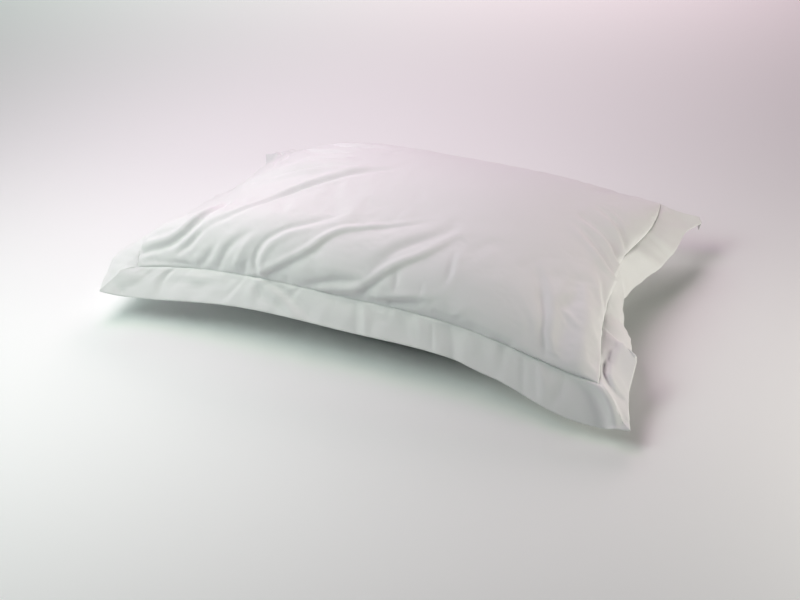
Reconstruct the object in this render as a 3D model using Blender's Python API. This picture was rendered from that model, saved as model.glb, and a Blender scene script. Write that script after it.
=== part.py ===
"""A stuffed Oxford pillowcase, lying on its back.

Two panels of plain cotton are sewn together all round, turned, and stitched again one
border's width in. The pillow fills the field inside that stitching, and the two layers of
the border stand out round it. The field is one filled solid and the border one thin ring.
"""
from collections import namedtuple
from math import pi

import bmesh
import bpy
import numpy as np

# Sizes of the case laid flat, in metres
FIELD_LENGTH = 0.750       # between the stitching lines, along X
FIELD_WIDTH = 0.500        # between the stitching lines, along Y
BORDER = 0.050             # stitching line to the case's edge
CLOTH = 0.002              # both layers together, where they are stitched
SEWN_GAP = 0.0003          # field to border, all along the stitching line

# Sizes of the stuffed shape
SEAM_HEIGHT = 0.070        # mean height of the stitching line above the surface
CROWN = 0.077              # how far the top swells above the sheet that spans the stitching
BELLY = 0.150              # how far the underside would swell if nothing held it up
SETTLE = 0.010             # depth over which the underside rounds into its flat face
ROUNDNESS = 2.25           # power of the swell across the field
FULLNESS = {"left": 0.56, "right": 0.47, "front": 0.42, "back": 0.49}   # lower is blunter
BORDER_BOW = 0.002         # how far the border bows up between its two edges

# Mesh steps
ALONG_STEPS = 80           # of the top panel and the stitching line
ACROSS_STEPS = 54
UNDER_STEP = 2             # the underside's cells are this many steps long
GATHER = 1.8               # how much closer the steps are at the front and the left
GATHER_TO = 0.25           # the share where they stop being closer, over about GATHER_EASE
GATHER_EASE = 0.06
STEEPNESS = 0.6            # run of the cloth at the stitching for each share, against its middle's
SHARE_POINTS = 2001        # points at which the cloth's run is measured
BORDER_SPLIT = {"front": 1, "right": 2, "back": 1, "left": 1}   # border columns to each step
BORDER_ROWS = 3

# How far the corners of the stitching (seam) and of the border (tip) are pulled in from
# their flat places, and their heights above the mean stitching line
Corner = namedtuple("Corner", "x_sign y_sign seam_in_x seam_in_y seam_z tip_in_x tip_in_y tip_z")
CORNERS = {
    "front_left": Corner(-1, -1, 0.005, 0.012, 0.012, 0.009, 0.019, -0.023),
    "front_right": Corner(1, -1, 0.008, 0.005, -0.008, 0.003, 0.014, -0.043),
    "back_right": Corner(1, 1, 0.020, 0.008, 0.026, 0.010, 0.014, -0.014),
    "back_left": Corner(-1, 1, 0.010, 0.006, -0.009, 0.001, 0.012, -0.039),
}

# Each side runs between two corners, and inward is the way it is drawn in
Side = namedtuple("Side", "start end inward half_length")
SIDES = {
    "front": Side("front_left", "front_right", (0, 1, 0), FIELD_LENGTH / 2),
    "right": Side("front_right", "back_right", (-1, 0, 0), FIELD_WIDTH / 2),
    "back": Side("back_left", "back_right", (0, -1, 0), FIELD_LENGTH / 2),
    "left": Side("front_left", "back_left", (1, 0, 0), FIELD_WIDTH / 2),
}

# The filling draws each side in and lifts it between its corners: at is the place along
# the side, -1 at its start and 1 at its end, and the rest are metres from the straight
# line between the corners, for the stitching (seam) and for the border's outer edge
Station = namedtuple("Station", "at seam_in seam_lift edge_in edge_lift")
STATIONS = {
    "front": (
        Station(-0.85, 0.015, 0.005, 0.015, -0.001),
        Station(-0.50, 0.021, 0.019, 0.031, 0.015),
        Station(0.00, 0.025, 0.022, 0.034, 0.020),
        Station(0.50, 0.020, 0.020, 0.025, 0.015),
        Station(0.85, 0.005, 0.005, -0.001, -0.007),
    ),
    "right": (
        Station(-0.85, 0.007, 0.001, 0.010, 0.011),
        Station(-0.50, 0.022, 0.005, 0.026, 0.013),
        Station(-0.15, 0.027, 0.008, 0.060, 0.000),
        Station(0.20, 0.028, 0.007, 0.064, -0.009),
        Station(0.50, 0.010, 0.003, 0.024, 0.003),
        Station(0.85, -0.002, 0.001, 0.010, 0.005),
    ),
    "back": (
        Station(-0.85, 0.004, 0.008, 0.005, 0.024),
        Station(-0.50, 0.012, 0.022, 0.024, 0.026),
        Station(0.00, 0.019, 0.022, 0.032, 0.024),
        Station(0.50, 0.016, 0.016, 0.026, 0.018),
        Station(0.85, 0.007, 0.006, 0.011, 0.012),
    ),
    "left": (
        Station(-0.85, -0.006, 0.027, -0.007, 0.027),
        Station(-0.50, 0.018, 0.021, -0.004, 0.025),
        Station(0.00, 0.026, 0.016, 0.027, 0.032),
        Station(0.50, 0.022, 0.010, 0.030, 0.010),
        Station(0.85, 0.008, 0.006, 0.022, -0.001),
    ),
}

# The main folds of the top panel. A fold runs along a curve through places on the case laid
# flat, in metres from its middle. Its trough sinks by depth, and the cloth on the left of its
# way stands up by lip. A depth below 0 is a ridge. start_width and end_width are the trough's
# half widths at its two ends, and from_start and from_end its strength there.
Fold = namedtuple("Fold", "places start_width end_width depth lip from_start from_end")
FOLDS = (
    # from the kink in the front seam, and the bent one beside it
    Fold(((-0.168, -0.251), (-0.106, -0.215), (-0.050, -0.162), (-0.020, -0.134), (0.060, -0.085)),
         0.0085, 0.0090, 0.0050, 0.0040, 0.8, 0.1),
    Fold(((-0.170, -0.249), (-0.175, -0.209), (-0.141, -0.166), (-0.050, -0.105)),
         0.0090, 0.0100, 0.0030, 0.0010, 0.9, 0.1),
    # the middle of the front
    Fold(((-0.024, -0.245), (0.019, -0.215), (0.077, -0.155), (0.125, -0.108)),
         0.0090, 0.0090, 0.0040, 0.0034, 0.7, 0.1),
    # hollows and a ridge at the left of the front seam
    Fold(((-0.285, -0.243), (-0.262, -0.232), (-0.240, -0.221)), 0.0100, 0.0090, 0.0030, 0.0014, 0.8, 0.2),
    Fold(((-0.250, -0.243), (-0.221, -0.206), (-0.182, -0.178)), 0.0110, 0.0100, 0.0034, 0.0014, 0.8, 0.1),
    Fold(((-0.222, -0.246), (-0.188, -0.202), (-0.170, -0.180)), 0.0100, 0.0090, -0.0022, 0.0, 0.5, 0.1),
    # long arcs over the left end
    Fold(((-0.372, -0.222), (-0.341, -0.176), (-0.300, -0.095), (-0.280, -0.045)),
         0.0120, 0.0140, 0.0078, 0.0010, 0.8, 0.1),
    Fold(((-0.338, -0.225), (-0.292, -0.131), (-0.232, 0.005)), 0.0130, 0.0150, -0.0060, 0.0, 0.4, 0.1),
    Fold(((-0.275, -0.199), (-0.195, -0.104), (-0.115, -0.026), (-0.063, 0.020)),
         0.0100, 0.0120, 0.0060, 0.0042, 0.3, 0.2),
    Fold(((-0.330, -0.005), (-0.196, 0.025), (-0.120, 0.050)), 0.0110, 0.0120, 0.0060, 0.0046, 0.4, 0.2),
    # the plump back, left of its middle
    Fold(((-0.300, 0.110), (-0.190, 0.125), (-0.050, 0.135)), 0.0500, 0.0500, -0.0080, 0.0, 0.8, 0.4),
    # the fan at the right end
    Fold(((0.373, 0.014), (0.321, 0.033), (0.240, 0.060)), 0.0110, 0.0130, 0.0060, 0.0044, 0.5, 0.1),
    Fold(((0.373, 0.042), (0.331, 0.077), (0.268, 0.108)), 0.0110, 0.0130, 0.0060, 0.0044, 0.6, 0.1),
    Fold(((0.371, -0.170), (0.341, -0.102), (0.302, -0.022)), 0.0110, 0.0130, 0.0036, 0.0030, 0.3, 0.1),
    # the hollow right of the front
    Fold(((0.236, -0.100), (0.277, -0.175), (0.276, -0.222)), 0.0150, 0.0140, 0.0026, 0.0012, 0.2, 0.3),
)
FOLD_CLEAR = 0.006         # folds die out over this distance from the stitching
FOLD_POINTS = 40           # steps in which a fold's curve is measured
FOLD_PEAK = 0.45           # share of its way where a fold is strongest
FOLD_RUN_OUT = 1.5         # how far a fold fades past its ends, in half widths
LIP_AT = 1.9               # the lip's middle and half width, in half widths of the trough
LIP_WIDTH = 1.3

# The border's buckles. Each runs from a place on the stitching to a place on the edge, in
# metres from the side's middle, rises by rise at the edge and leans by lean along its side.
Buckle = namedtuple("Buckle", "side seam_at edge_at half_width rise lean")
BUCKLES = (
    Buckle("front", 0.190, 0.200, 0.040, -0.003, 0.000),
    Buckle("right", -0.150, -0.200, 0.036, 0.011, 0.028),    # pleat folded over itself
    Buckle("right", 0.008, 0.018, 0.024, 0.010, 0.000),      # ridge behind the pleat
    Buckle("back", -0.140, -0.150, 0.045, 0.005, 0.000),
    Buckle("back", 0.110, 0.120, 0.055, -0.004, 0.000),
    Buckle("left", 0.070, 0.080, 0.045, -0.004, 0.000),
)

# Colours
WHITE_COTTON = (0.86, 0.87, 0.87, 1.0)
COTTON_ROUGHNESS = 0.85


def corner_points(corner):
    """Return the corner's places on the stitching and at the border's tip."""
    seam = (corner.x_sign * (FIELD_LENGTH / 2 - corner.seam_in_x),
            corner.y_sign * (FIELD_WIDTH / 2 - corner.seam_in_y), corner.seam_z)
    tip = (corner.x_sign * (FIELD_LENGTH / 2 + BORDER - corner.tip_in_x),
           corner.y_sign * (FIELD_WIDTH / 2 + BORDER - corner.tip_in_y), corner.tip_z)
    return np.array(seam), np.array(tip)


def natural_spline(knots, values, places):
    """Return a natural cubic spline through the knots, read at each place."""
    knots = np.asarray(knots, float)
    values = np.asarray(values, float)
    steps = np.diff(knots)
    slopes = np.diff(values) / steps
    size = len(knots)
    matrix = np.eye(size)
    right = np.zeros(size)
    for i in range(1, size - 1):
        matrix[i, i - 1:i + 2] = steps[i - 1], 2 * (steps[i - 1] + steps[i]), steps[i]
        right[i] = 6 * (slopes[i] - slopes[i - 1])
    bend = np.linalg.solve(matrix, right)
    cell = np.clip(np.searchsorted(knots, places) - 1, 0, size - 2)
    step = steps[cell]
    before = places - knots[cell]
    after = knots[cell + 1] - places
    return (bend[cell] * after ** 3 + bend[cell + 1] * before ** 3) / (6 * step) \
        + (values[cell] / step - bend[cell] * step / 6) * after \
        + (values[cell + 1] / step - bend[cell + 1] * step / 6) * before


def side_curve(name, at, edge=False):
    """Return points on a side's stitching line, or on the border's edge, at -1 to 1."""
    side = SIDES[name]
    start = corner_points(CORNERS[side.start])[int(edge)]
    end = corner_points(CORNERS[side.end])[int(edge)]
    stations = STATIONS[name]
    knots = [-1.0] + [station.at for station in stations] + [1.0]
    drawn = [station.edge_in if edge else station.seam_in for station in stations]
    lifted = [station.edge_lift if edge else station.seam_lift for station in stations]
    draw_in = natural_spline(knots, [0.0] + drawn + [0.0], at)
    lift = natural_spline(knots, [0.0] + lifted + [0.0], at)
    share = (at + 1) / 2
    points = start + (end - start) * share[..., None]
    points = points + np.array(side.inward) * draw_in[..., None]
    points[..., 2] += lift + SEAM_HEIGHT
    return points


def spanning_sheet(along, across):
    """Return the sheet that spans the stitching line, as a patch between its four sides."""
    front = side_curve("front", along)
    back = side_curve("back", along)
    left = side_curve("left", across)
    right = side_curve("right", across)
    x_share = ((along + 1) / 2)[..., None]
    y_share = ((across + 1) / 2)[..., None]
    seam = {name: corner_points(corner)[0] + (0, 0, SEAM_HEIGHT) for name, corner in CORNERS.items()}
    corners = (1 - x_share) * ((1 - y_share) * seam["front_left"] + y_share * seam["back_left"]) \
        + x_share * ((1 - y_share) * seam["front_right"] + y_share * seam["back_right"])
    return (1 - y_share) * front + y_share * back + (1 - x_share) * left + x_share * right - corners


def swell(at, low_side, high_side):
    """Return the swell across the field: 1 in the middle, 0 at either seam."""
    base = np.clip(1 - np.abs(at) ** ROUNDNESS, 0.0, 1.0)
    return np.where(at < 0, base ** FULLNESS[low_side], base ** FULLNESS[high_side])


def panel_points(along_share, across_share, rise):
    """Return a panel's points; rise is its greatest height over the spanning sheet.

    The shares run evenly from -1 to 1 over the cloth, which is steep at the seams.
    """
    along = np.sin(along_share * pi / 2)
    across = np.sin(across_share * pi / 2)
    points = spanning_sheet(along, across)
    points[..., 2] += rise * swell(along, "left", "right") * swell(across, "front", "back")
    return points


def unit(vectors):
    """Return the vectors scaled to a length of 1."""
    return vectors / np.maximum(np.linalg.norm(vectors, axis=-1, keepdims=True), 1e-12)


def grid_normals(points):
    """Return the upward normals of a grid of points."""
    first = np.gradient(points, axis=0)
    second = np.gradient(points, axis=1)
    return unit(np.cross(first, second))


def cloth_shares(steps):
    """Return shares from -1 to 1 in steps even along the cloth, closer at the low end."""
    fine = np.linspace(-1, 1, SHARE_POINTS)
    closeness = np.hypot(np.cos(fine * pi / 2) * pi / 2, STEEPNESS)
    closeness *= 1 + (GATHER - 1) / (1 + np.exp((fine - GATHER_TO) / GATHER_EASE))
    reach = np.concatenate([[0.0], np.cumsum((closeness[1:] + closeness[:-1]) / 2)])
    return np.interp(np.linspace(0, reach[-1], steps + 1), reach, fine)


def flat_places(points):
    """Return where a panel's grid lies on the flat case, by its lengths of cloth."""
    marks = []
    for axis, half in ((0, FIELD_LENGTH / 2), (1, FIELD_WIDTH / 2)):
        grid = np.moveaxis(points, axis, 0)
        steps = np.linalg.norm(np.diff(grid, axis=0), axis=-1)
        reach = np.concatenate([np.zeros((1,) + steps.shape[1:]), np.cumsum(steps, axis=0)])
        marks.append(np.moveaxis(half * (2 * reach / reach[-1] - 1), 0, axis))
    return np.stack(marks, axis=-1)


def fold_line(fold):
    """Return points along a fold, on the smooth curve through its places."""
    places = np.array(fold.places)
    reach = np.concatenate([[0.0], np.cumsum(np.linalg.norm(np.diff(places, axis=0), axis=1))])
    along = np.linspace(0, reach[-1], FOLD_POINTS)
    return np.stack([natural_spline(reach, places[:, axis], along) for axis in (0, 1)], axis=-1)


def fold_height(flat, fold):
    """Return how far one fold lifts each place on the flat case."""
    line = fold_line(fold)
    offset = flat[:, :, None, :] - line
    nearest = np.sum(offset ** 2, axis=-1).argmin(axis=-1)
    away = np.take_along_axis(offset, nearest[..., None, None], axis=2)[..., 0, :]
    heading = unit(np.gradient(line, axis=0))[nearest]
    side = heading[..., 0] * away[..., 1] - heading[..., 1] * away[..., 0]
    reach = np.sum(heading * away, axis=-1)
    place = nearest / (FOLD_POINTS - 1)
    width = fold.start_width + (fold.end_width - fold.start_width) * place
    strength = np.interp(place, (0, FOLD_PEAK, 1), (fold.from_start, 1, fold.from_end))
    strength = strength * np.exp(-(reach / (FOLD_RUN_OUT * width)) ** 2)
    trough = fold.depth * np.exp(-(side / width) ** 2)
    lip = fold.lip * np.exp(-((side / width - LIP_AT) / LIP_WIDTH) ** 2)
    return strength * (lip - trough)


def top_panel(along_share, across_share):
    """Return the top panel's points with its folds."""
    points = panel_points(along_share, across_share, CROWN)
    flat = flat_places(points)
    height = sum(fold_height(flat, fold) for fold in FOLDS)
    distance = np.minimum(FIELD_LENGTH / 2 - np.abs(flat[..., 0]), FIELD_WIDTH / 2 - np.abs(flat[..., 1]))
    height = height * np.clip(distance / FOLD_CLEAR, 0, 1)
    return points + grid_normals(points) * height[..., None]


def under_panel(along_share, across_share):
    """Return the underside's points, rounded into a flat face where it rests."""
    points = panel_points(along_share, across_share, -BELLY)
    height = points[..., 2]
    eased = (height + SETTLE) ** 2 / (4 * SETTLE)
    settled = np.where(height > SETTLE, height, np.where(height < -SETTLE, 0.0, eased))
    points[..., 2] = settled
    return points


def border_shift(name, along, share):
    """Return how the buckles move the border's points, at metres along and share across."""
    shift = np.zeros(along.shape + (3,))
    side = SIDES[name]
    run = np.array([abs(side.inward[1]), abs(side.inward[0]), 0.0])
    for buckle in (row for row in BUCKLES if row.side == name):
        centre = buckle.seam_at + (buckle.edge_at - buckle.seam_at) * share
        nearness = np.clip(np.abs(along - centre) / buckle.half_width, 0, 1)
        bump = np.cos(nearness * pi / 2) ** 2
        shift[..., 2] += buckle.rise * bump * share
        shift += run * (buckle.lean * bump * np.sqrt(share))[..., None]
    return shift


def side_steps(name):
    """Return the steps of a side's stitching line."""
    return ALONG_STEPS if name in ("front", "back") else ACROSS_STEPS


def border_side(name):
    """Return one side of the border's middle sheet as columns by rows of points.

    Its inner edge is straight between the field's mesh points on the stitching line.
    """
    side = SIDES[name]
    steps = side_steps(name)
    field_share = cloth_shares(steps)
    column = np.linspace(0, steps, steps * BORDER_SPLIT[name] + 1)
    at = np.sin(np.interp(column, np.arange(steps + 1), field_share) * pi / 2)
    stitched = side_curve(name, np.sin(field_share * pi / 2))
    cell = np.minimum(column.astype(int), steps - 1)
    part = (column - cell)[:, None]
    inner = stitched[cell] * (1 - part) + stitched[cell + 1] * part
    outer = side_curve(name, at, edge=True)
    rows = np.linspace(0, 1, BORDER_ROWS + 1)[None, :]
    points = inner[:, None, :] * (1 - rows[..., None]) + outer[:, None, :] * rows[..., None]
    points[..., 2] += BORDER_BOW * np.sin(rows * pi)
    along = at[:, None] * (side.half_length + BORDER * rows)
    points += border_shift(name, along, rows + np.zeros_like(along))
    return points


def ring_of_sides():
    """Return the border's middle sheet as one closed ring, columns anticlockwise."""
    front, right, back, left = (border_side(name) for name in ("front", "right", "back", "left"))
    return np.concatenate([front[:-1], right[:-1], back[:0:-1], left[:0:-1]])


def open_sewn_gap(ring):
    """Move the ring's inner edge out from the stitching line by the sewn gap."""
    inner = ring[:, 0, :]
    run = unit((np.roll(inner, -1, axis=0) - inner) * (1, 1, 0))
    out = np.stack([run[:, 1], -run[:, 0], np.zeros(len(run))], axis=-1)
    before = np.roll(out, 1, axis=0)
    mitre = unit(out + before)
    stretch = np.sum(mitre * out, axis=-1, keepdims=True)
    ring[:, 0, :] = inner + mitre * SEWN_GAP / stretch
    return ring


def ring_normals(ring):
    """Return the ring's upward normals, straight up along its stitched edge."""
    first = (np.roll(ring, -1, axis=0) - np.roll(ring, 1, axis=0)) / 2
    normals = unit(np.cross(first, -np.gradient(ring, axis=1)))
    normals[:, 0, :] = (0, 0, 1)
    return normals


def add_object(name, bm, material):
    """Make an object of the bmesh, shaded smooth but for its sharp edges."""
    mesh = bpy.data.meshes.new(name)
    bm.to_mesh(mesh)
    bm.free()
    mesh.shade_smooth()
    mesh.set_sharp_from_angle(angle=pi / 3)
    mesh.materials.append(material)
    obj = bpy.data.objects.new(name, mesh)
    bpy.context.scene.collection.objects.link(obj)
    return obj


def grid_faces(bm, rows, flip=False):
    """Join rows of vertices with quads."""
    for low, high in zip(rows[:-1], rows[1:]):
        for i in range(len(low) - 1):
            corners = (low[i], high[i], high[i + 1], low[i + 1])
            bm.faces.new(corners[::-1] if flip else corners)


def rim_loop(grid):
    """Return the vertices along a grid's rim, once round."""
    loop = [column[0] for column in grid[:-1]] + grid[-1][:-1]
    return loop + [column[-1] for column in grid[:0:-1]] + grid[0][:0:-1]


def coarse_faces(bm, points):
    """Make a panel of large cells that keep every fine vertex on its rim; return its rim."""
    columns, rows = points.shape[:2]
    vertices = {}

    def vertex(i, j):
        if (i, j) not in vertices:
            vertices[i, j] = bm.verts.new(points[i, j])
        return vertices[i, j]

    ragged = []
    for i in range(0, columns - 1, UNDER_STEP):
        for j in range(0, rows - 1, UNDER_STEP):
            k, m = i + UNDER_STEP, j + UNDER_STEP
            bottom = [(a, j) for a in range(i, k)] if j == 0 else [(i, j)]
            right = [(k, a) for a in range(j, m)] if k == columns - 1 else [(k, j)]
            top = [(a, m) for a in range(k, i, -1)] if m == rows - 1 else [(k, m)]
            left = [(i, a) for a in range(m, j, -1)] if i == 0 else [(i, m)]
            corners = bottom + right + top + left
            face = bm.faces.new([vertex(*place) for place in corners[::-1]])
            if len(corners) > 4:
                ragged.append(face)
    bmesh.ops.triangulate(bm, faces=ragged)
    rim = [(i, 0) for i in range(columns - 1)] + [(columns - 1, j) for j in range(rows - 1)]
    rim += [(i, rows - 1) for i in range(columns - 1, 0, -1)] + [(0, j) for j in range(rows - 1, 0, -1)]
    return [vertices[place] for place in rim]


def make_field(material):
    """Make the filled field: top panel, underside and the thin stitched edge between."""
    shares = np.meshgrid(cloth_shares(ALONG_STEPS), cloth_shares(ACROSS_STEPS), indexing="ij")
    top, under = top_panel(*shares), under_panel(*shares)
    for points, half in ((top, CLOTH / 2), (under, -CLOTH / 2)):
        points[[0, -1], :, 2] += half
        points[1:-1, [0, -1], 2] += half
    bm = bmesh.new()
    fine = [[bm.verts.new(point) for point in column] for column in top]
    grid_faces(bm, fine)
    upper, lower = rim_loop(fine), coarse_faces(bm, under)
    for i, j in zip(range(len(upper)), [*range(1, len(upper)), 0]):
        bm.faces.new((upper[i], lower[i], lower[j], upper[j]))
    join_flat_face(bm)
    return add_object("stuffed_field", bm, material)


def join_flat_face(bm):
    """Merge the faces that lie on the surface into one."""
    resting = [face for face in bm.faces if all(vertex.co.z == 0.0 for vertex in face.verts)]
    bmesh.ops.dissolve_faces(bm, faces=resting, use_verts=True)


def make_border(material):
    """Make the border: a ring of two layers, one thickness of cloth each."""
    ring = open_sewn_gap(ring_of_sides())
    offset = ring_normals(ring) * CLOTH / 2
    bm = bmesh.new()
    top, under = ([[bm.verts.new(point) for point in column] for column in sheet]
                  for sheet in (ring + offset, ring - offset))
    for i in range(len(ring)):
        j = (i + 1) % len(ring)
        grid_faces(bm, [top[j], top[i]])
        grid_faces(bm, [under[j], under[i]], flip=True)
        bm.faces.new((top[i][0], top[j][0], under[j][0], under[i][0]))
        bm.faces.new((top[j][-1], top[i][-1], under[i][-1], under[j][-1]))
    return add_object("border", bm, material)


def cotton(name, colour):
    """Make a plain cotton material."""
    material = bpy.data.materials.new(name)
    material.use_nodes = True
    shader = material.node_tree.nodes["Principled BSDF"]
    shader.inputs["Base Color"].default_value = colour
    shader.inputs["Roughness"].default_value = COTTON_ROUGHNESS
    shader.inputs["Metallic"].default_value = 0.0
    return material


def centre_on_origin(objects):
    """Put the middle of the whole outline over the origin, on the surface."""
    places = np.array([vertex.co for obj in objects for vertex in obj.data.vertices])
    low, high = places.min(axis=0), places.max(axis=0)
    shift = (-(low[0] + high[0]) / 2, -(low[1] + high[1]) / 2, -low[2])
    for obj in objects:
        bmesh_move(obj.data, shift)


def bmesh_move(mesh, shift):
    """Move every vertex of a mesh."""
    for vertex in mesh.vertices:
        vertex.co = [place + step for place, step in zip(vertex.co, shift)]


def clear_scene():
    """Remove every object."""
    for obj in list(bpy.data.objects):
        bpy.data.objects.remove(obj, do_unlink=True)


def main():
    """Build the pillowcase."""
    clear_scene()
    field = make_field(cotton("field_cotton", WHITE_COTTON))
    border = make_border(cotton("border_cotton", WHITE_COTTON))
    centre_on_origin([field, border])


main()
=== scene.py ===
"""Looks of a stuffed white cotton pillowcase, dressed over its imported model.

The case is two panels of plain cotton round a pillow. A line of stitching runs all round,
and the two layers outside it stand out as a flat border. Each fold is marked where it lies
on the case laid flat, in metres from its middle: x runs to the right and y to the back.
"""
import logging
import math
from dataclasses import dataclass
from enum import Enum

import bpy
import numpy as np
from mathutils import Matrix, Vector


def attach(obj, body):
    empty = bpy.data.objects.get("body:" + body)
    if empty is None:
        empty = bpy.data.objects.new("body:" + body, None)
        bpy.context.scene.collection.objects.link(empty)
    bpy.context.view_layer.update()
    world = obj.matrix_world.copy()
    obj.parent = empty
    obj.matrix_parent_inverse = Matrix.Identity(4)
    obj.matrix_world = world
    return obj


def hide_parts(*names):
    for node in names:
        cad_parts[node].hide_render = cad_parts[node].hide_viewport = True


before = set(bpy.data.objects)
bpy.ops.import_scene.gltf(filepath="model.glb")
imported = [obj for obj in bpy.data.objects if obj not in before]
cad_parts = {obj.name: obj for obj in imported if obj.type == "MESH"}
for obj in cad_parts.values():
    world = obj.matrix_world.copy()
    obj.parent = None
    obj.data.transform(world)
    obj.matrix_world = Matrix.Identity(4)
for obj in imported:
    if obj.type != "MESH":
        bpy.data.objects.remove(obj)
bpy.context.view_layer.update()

Array = np.ndarray
Place = tuple[float, float, float]
FlatPlace = tuple[float, float]
Colour = tuple[float, float, float, float]

log = logging.getLogger("pillowcase")


class Side(Enum):
    """The four sides of the case, seen from above with its front towards the camera."""

    FRONT = "front"
    RIGHT = "right"
    BACK = "back"
    LEFT = "left"


class Corner(Enum):
    """The four corners of the case."""

    FRONT_LEFT = "front_left"
    FRONT_RIGHT = "front_right"
    BACK_RIGHT = "back_right"
    BACK_LEFT = "back_left"


class FoldShape(Enum):
    """How a fold looks across its way, in its own half widths.

    Each has the half widths of its trough's left and right, and its lip's place and half width.
    """

    SOFT = (1.0, 1.0, 1.9, 1.3)
    CRISP = (0.55, 2.3, 1.45, 1.0)


@dataclass(frozen=True)
class CornerLie:
    """How far one corner of the stitching and of the border lie from their flat places.

    The pull-ins are towards the middle, and the heights are from the mean stitching line.
    """

    x_sign: int
    y_sign: int
    seam_in_x: float
    seam_in_y: float
    seam_z: float
    tip_in_x: float
    tip_in_y: float
    tip_z: float


@dataclass(frozen=True)
class Station:
    """Draw-in and lift at one place along a side, at from -1 to 1, against its straight line."""

    at: float
    seam_in: float
    seam_lift: float
    edge_in: float
    edge_lift: float


@dataclass(frozen=True)
class SideRun:
    """A side's two corners, the way it is drawn in, and half its length laid flat."""

    start: Corner
    end: Corner
    inward: Place
    half_length: float


@dataclass(frozen=True)
class Fold:
    """One fold: a trough along a path on the flat case, with a lip on the left of its way.

    The widths are the trough's half width at either end. The strengths at the two ends are
    shares of the full depth and lip, which the fold has at its strongest place. Past its ends
    it fades over end_fade half widths, and nothing is worked out past reach_out of them.
    """

    path: tuple[FlatPlace, ...]
    start_width: float
    end_width: float
    depth: float
    lip: float = 0.0
    start: float = 0.4
    end: float = 0.1
    shape: FoldShape = FoldShape.SOFT
    steps: int = 48
    strongest: float = 0.45
    end_fade: float = 1.5
    reach_out: float = 5.0

    def line(self) -> Array:
        """Draw the smooth curve through the path's places.

        Returns:
            Points along the curve.
        """
        places = np.array(self.path)
        reach = np.concatenate([[0.0], np.cumsum(np.linalg.norm(np.diff(places, axis=0), axis=1))])
        along = np.linspace(0.0, reach[-1], self.steps)
        return np.stack([natural_spline(reach, places[:, axis], along) for axis in (0, 1)], axis=-1)

    def height(self, flat: Array) -> Array:
        """Return how far the fold lifts each place.

        Args:
            flat: places on the flat case, an array that ends in x and y.

        Returns:
            Metres along the cloth's normal, one for each place.
        """
        line = self.line()
        margin = self.reach_out * max(self.start_width, self.end_width)
        low, high = line.min(axis=0) - margin, line.max(axis=0) + margin
        near = np.all((flat > low) & (flat < high), axis=-1)
        height = np.zeros(flat.shape[:-1])
        if not near.any():
            return height
        offset = flat[near][:, None, :] - line
        nearest = np.sum(offset ** 2, axis=-1).argmin(axis=-1)
        away = offset[np.arange(len(offset)), nearest]
        heading = unit(np.gradient(line, axis=0))[nearest]
        side = heading[:, 0] * away[:, 1] - heading[:, 1] * away[:, 0]
        reach = np.sum(heading * away, axis=-1)
        place = nearest / (self.steps - 1)
        width = self.start_width + (self.end_width - self.start_width) * place
        strength = np.interp(place, (0.0, self.strongest, 1.0), (self.start, 1.0, self.end))
        strength = strength * np.exp(-(reach / (self.end_fade * width)) ** 2)
        height[near] = strength * self.profile(side / width)
        return height

    def profile(self, across: Array) -> Array:
        """Return the fold's height across its way.

        Args:
            across: half widths from its middle, positive on its left.

        Returns:
            The height at each place.
        """
        left, right, lip_at, lip_width = self.shape.value
        trough = np.exp(-(np.where(across > 0, across / left, across / right)) ** 2)
        lip = np.exp(-((across - lip_at) / lip_width) ** 2)
        return self.lip * lip - self.depth * trough


@dataclass(frozen=True)
class Buckle:
    """One buckle of the border, from a place on the stitching to a place on the edge.

    The places are metres along the side from its middle. It rises by rise at the edge, and
    leans by lean along its side, so that a large one folds over itself.
    """

    side: Side
    seam_at: float
    edge_at: float
    half_width: float
    rise: float
    lean: float = 0.0


def unit(vectors: Array) -> Array:
    """Return the vectors scaled to a length of 1."""
    return vectors / np.maximum(np.linalg.norm(vectors, axis=-1, keepdims=True), 1e-12)


def natural_spline(knots: Array, values: Array, places: Array) -> Array:
    """Read a natural cubic spline.

    Args:
        knots: where the values are given, in rising order.
        values: the value at each knot.
        places: where to read the spline.

    Returns:
        The spline's value at each place.
    """
    knots, values = np.asarray(knots, float), np.asarray(values, float)
    steps = np.diff(knots)
    slopes = np.diff(values) / steps
    size = len(knots)
    matrix, right = np.eye(size), np.zeros(size)
    for i in range(1, size - 1):
        matrix[i, i - 1:i + 2] = steps[i - 1], 2 * (steps[i - 1] + steps[i]), steps[i]
        right[i] = 6 * (slopes[i] - slopes[i - 1])
    bend = np.linalg.solve(matrix, right)
    cell = np.clip(np.searchsorted(knots, places) - 1, 0, size - 2)
    step = steps[cell]
    before, after = places - knots[cell], knots[cell + 1] - places
    return (bend[cell] * after ** 3 + bend[cell + 1] * before ** 3) / (6 * step) \
        + (values[cell] / step - bend[cell] * step / 6) * after \
        + (values[cell + 1] / step - bend[cell + 1] * step / 6) * before


def grid_normals(points: Array) -> Array:
    """Return the upward normals of a grid of points."""
    return unit(np.cross(np.gradient(points, axis=0), np.gradient(points, axis=1)))


def resampled(grid: Array, known: Array, shares: Array, axis: int) -> Array:
    """Read a grid at other places along one axis, by cubic interpolation.

    Args:
        grid: values at the known shares along the axis.
        known: the grid's shares, from -1 to 1.
        shares: the places to read.
        axis: 0 or 1.

    Returns:
        The values at the shares.
    """
    grid = np.moveaxis(grid, axis, 0)
    count = len(grid)
    place = np.interp(shares, known, np.arange(count))
    cell = np.clip(place.astype(int), 0, count - 2)
    part = (place - cell).reshape((-1,) + (1,) * (grid.ndim - 1))
    before, low, high, after = (grid[np.clip(cell + step, 0, count - 1)] for step in (-1, 0, 1, 2))
    slope_low, slope_high = (high - before) / 2, (after - low) / 2
    value = low + part * (slope_low + part * (3 * (high - low) - 2 * slope_low - slope_high
                                              + part * (slope_low + slope_high - 2 * (high - low))))
    return np.moveaxis(value, 0, axis)


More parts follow.
